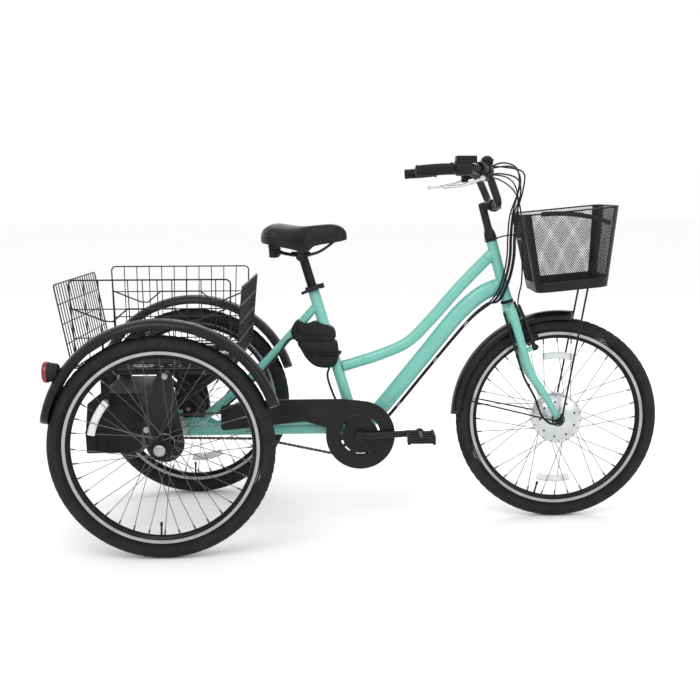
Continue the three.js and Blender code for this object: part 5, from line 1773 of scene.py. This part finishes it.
def side_place(side):
    """How a side panel's own u (forward) and v (up) become a point."""
    return lambda u, v: Vector((SIDE_HINGE.x + u, side * (SIDE_HINGE.y + v * math.sin(SIDE_LEAN)),
                                SIDE_HINGE.z + v * math.cos(SIDE_LEAN)))


def end_place(hinge, lean):
    """How the front or rear panel's own u (to the left) and v (up) become a point."""
    return lambda u, v: Vector((hinge.x + v * math.sin(lean), u, hinge.z + v * math.cos(lean)))


for hand in (1, -1):
    word = side_name(hand)
    wire_panel(f"side_panel_{word}_wires", f"basket_panel_{word}", f"{word}_panel", side_place(hand),
               408, 424, 234, 11, 2, brace=True)
wire_panel("front_panel_wires", "basket_panel_front", "front_panel", end_place(FRONT_HINGE, FRONT_LEAN),
           466, 472, 206, 18, 3)
wire_panel("rear_panel_wires", "basket_panel_rear", "rear_panel", end_place(REAR_HINGE, REAR_LEAN),
           466, 472, 216, 18, 3)


def basket_floor():
    """The welded wire floor, with its edge hoop and its cross wires."""
    piece = Piece()
    low, high = REAR_HINGE.x + 6, FRONT_HINGE.x - 6
    HALF, Z = 234, 500
    GAPS_ACROSS, GAPS_ALONG = 19, 8
    corners = [(low, -HALF, Z), (high, -HALF, Z), (high, HALF, Z), (low, HALF, Z)]
    for a, b in zip(corners, corners[1:] + corners[:1]):
        piece.bar(a, b, 1.9, 10)
    for i in range(1, GAPS_ACROSS):
        y = -HALF + 2 * HALF * i / GAPS_ACROSS
        piece.bar((low, y, Z + 0.6), (high, y, Z + 0.6), 1.2, 6)
    for i in range(1, GAPS_ALONG):
        x = low + (high - low) * i / GAPS_ALONG
        piece.bar((x, -HALF, Z - 0.7), (x, HALF, Z - 0.7), 1.2, 6)
    piece.make("basket_floor_wires", "frame", COAT, ["basket_floor"])


basket_floor()


# ---- floor, light and camera ----
def plain_material(name, color, roughness):
    """A material of one colour, with the faintest mottling."""
    finish = Finish(name, color, roughness)
    finish.vary_color(finish.noise(1.5, 2), tuple(c * 0.99 for c in color))
    return finish.material


def studio():
    """A pale floor, a white surround and three soft lamps."""
    bpy.ops.mesh.primitive_plane_add(size=60, location=(0, 0, 0))
    ground = bpy.context.object
    ground.name = "studio_floor"
    ground.data.materials.append(plain_material("pale_floor", (0.97, 0.97, 0.97), 0.8))
    world = bpy.data.worlds.new("studio_air")
    bpy.context.scene.world = world
    world.use_nodes = True
    world.node_tree.nodes["Background"].inputs["Color"].default_value = (1, 1, 1, 1)
    world.node_tree.nodes["Background"].inputs["Strength"].default_value = 1.0
    LAMPS = [("key", (-1.6, -3.4, 4.2), 90, 3.0), ("fill", (3.2, -2.8, 2.6), 30, 3.0),
             ("back", (0.6, 3.6, 3.6), 50, 3.4)]
    for name, place, power, size in LAMPS:
        light = bpy.data.lights.new(name, "AREA")
        light.energy = power
        light.size = size
        lamp = bpy.data.objects.new(name, light)
        lamp.location = place
        lamp.rotation_euler = (Vector((0, 0, 0.5)) - Vector(place)).to_track_quat("-Z", "Y").to_euler()
        bpy.context.scene.collection.objects.link(lamp)


def camera():
    """The photograph's viewpoint: a little above the saddle, level with the cranks, on the right."""
    VIEWPOINT = in_frame((501.7, -3160.2, 971.0))
    YAW, PITCH, ROLL = 0.0497, 0.1359, -0.0023
    data = bpy.data.cameras.new("photo_camera")
    data.sensor_width = 36
    data.lens = 55.93
    data.shift_x = -0.0781
    data.shift_y = -0.0152
    eye = bpy.data.objects.new("photo_camera", data)
    ahead = Vector((math.sin(YAW) * math.cos(PITCH), math.cos(YAW) * math.cos(PITCH), -math.sin(PITCH)))
    right = Vector((math.cos(YAW), -math.sin(YAW), 0))
    above = right.cross(ahead)
    rolled_right = right * math.cos(ROLL) + above * math.sin(ROLL)
    rolled_above = above * math.cos(ROLL) - right * math.sin(ROLL)
    turn = Matrix((rolled_right, rolled_above, -ahead)).transposed()
    eye.matrix_world = Matrix.Translation(VIEWPOINT) @ turn.to_4x4()
    bpy.context.scene.collection.objects.link(eye)
    bpy.context.scene.camera = eye


studio()
camera()
bpy.context.scene.view_settings.view_transform = "Standard"
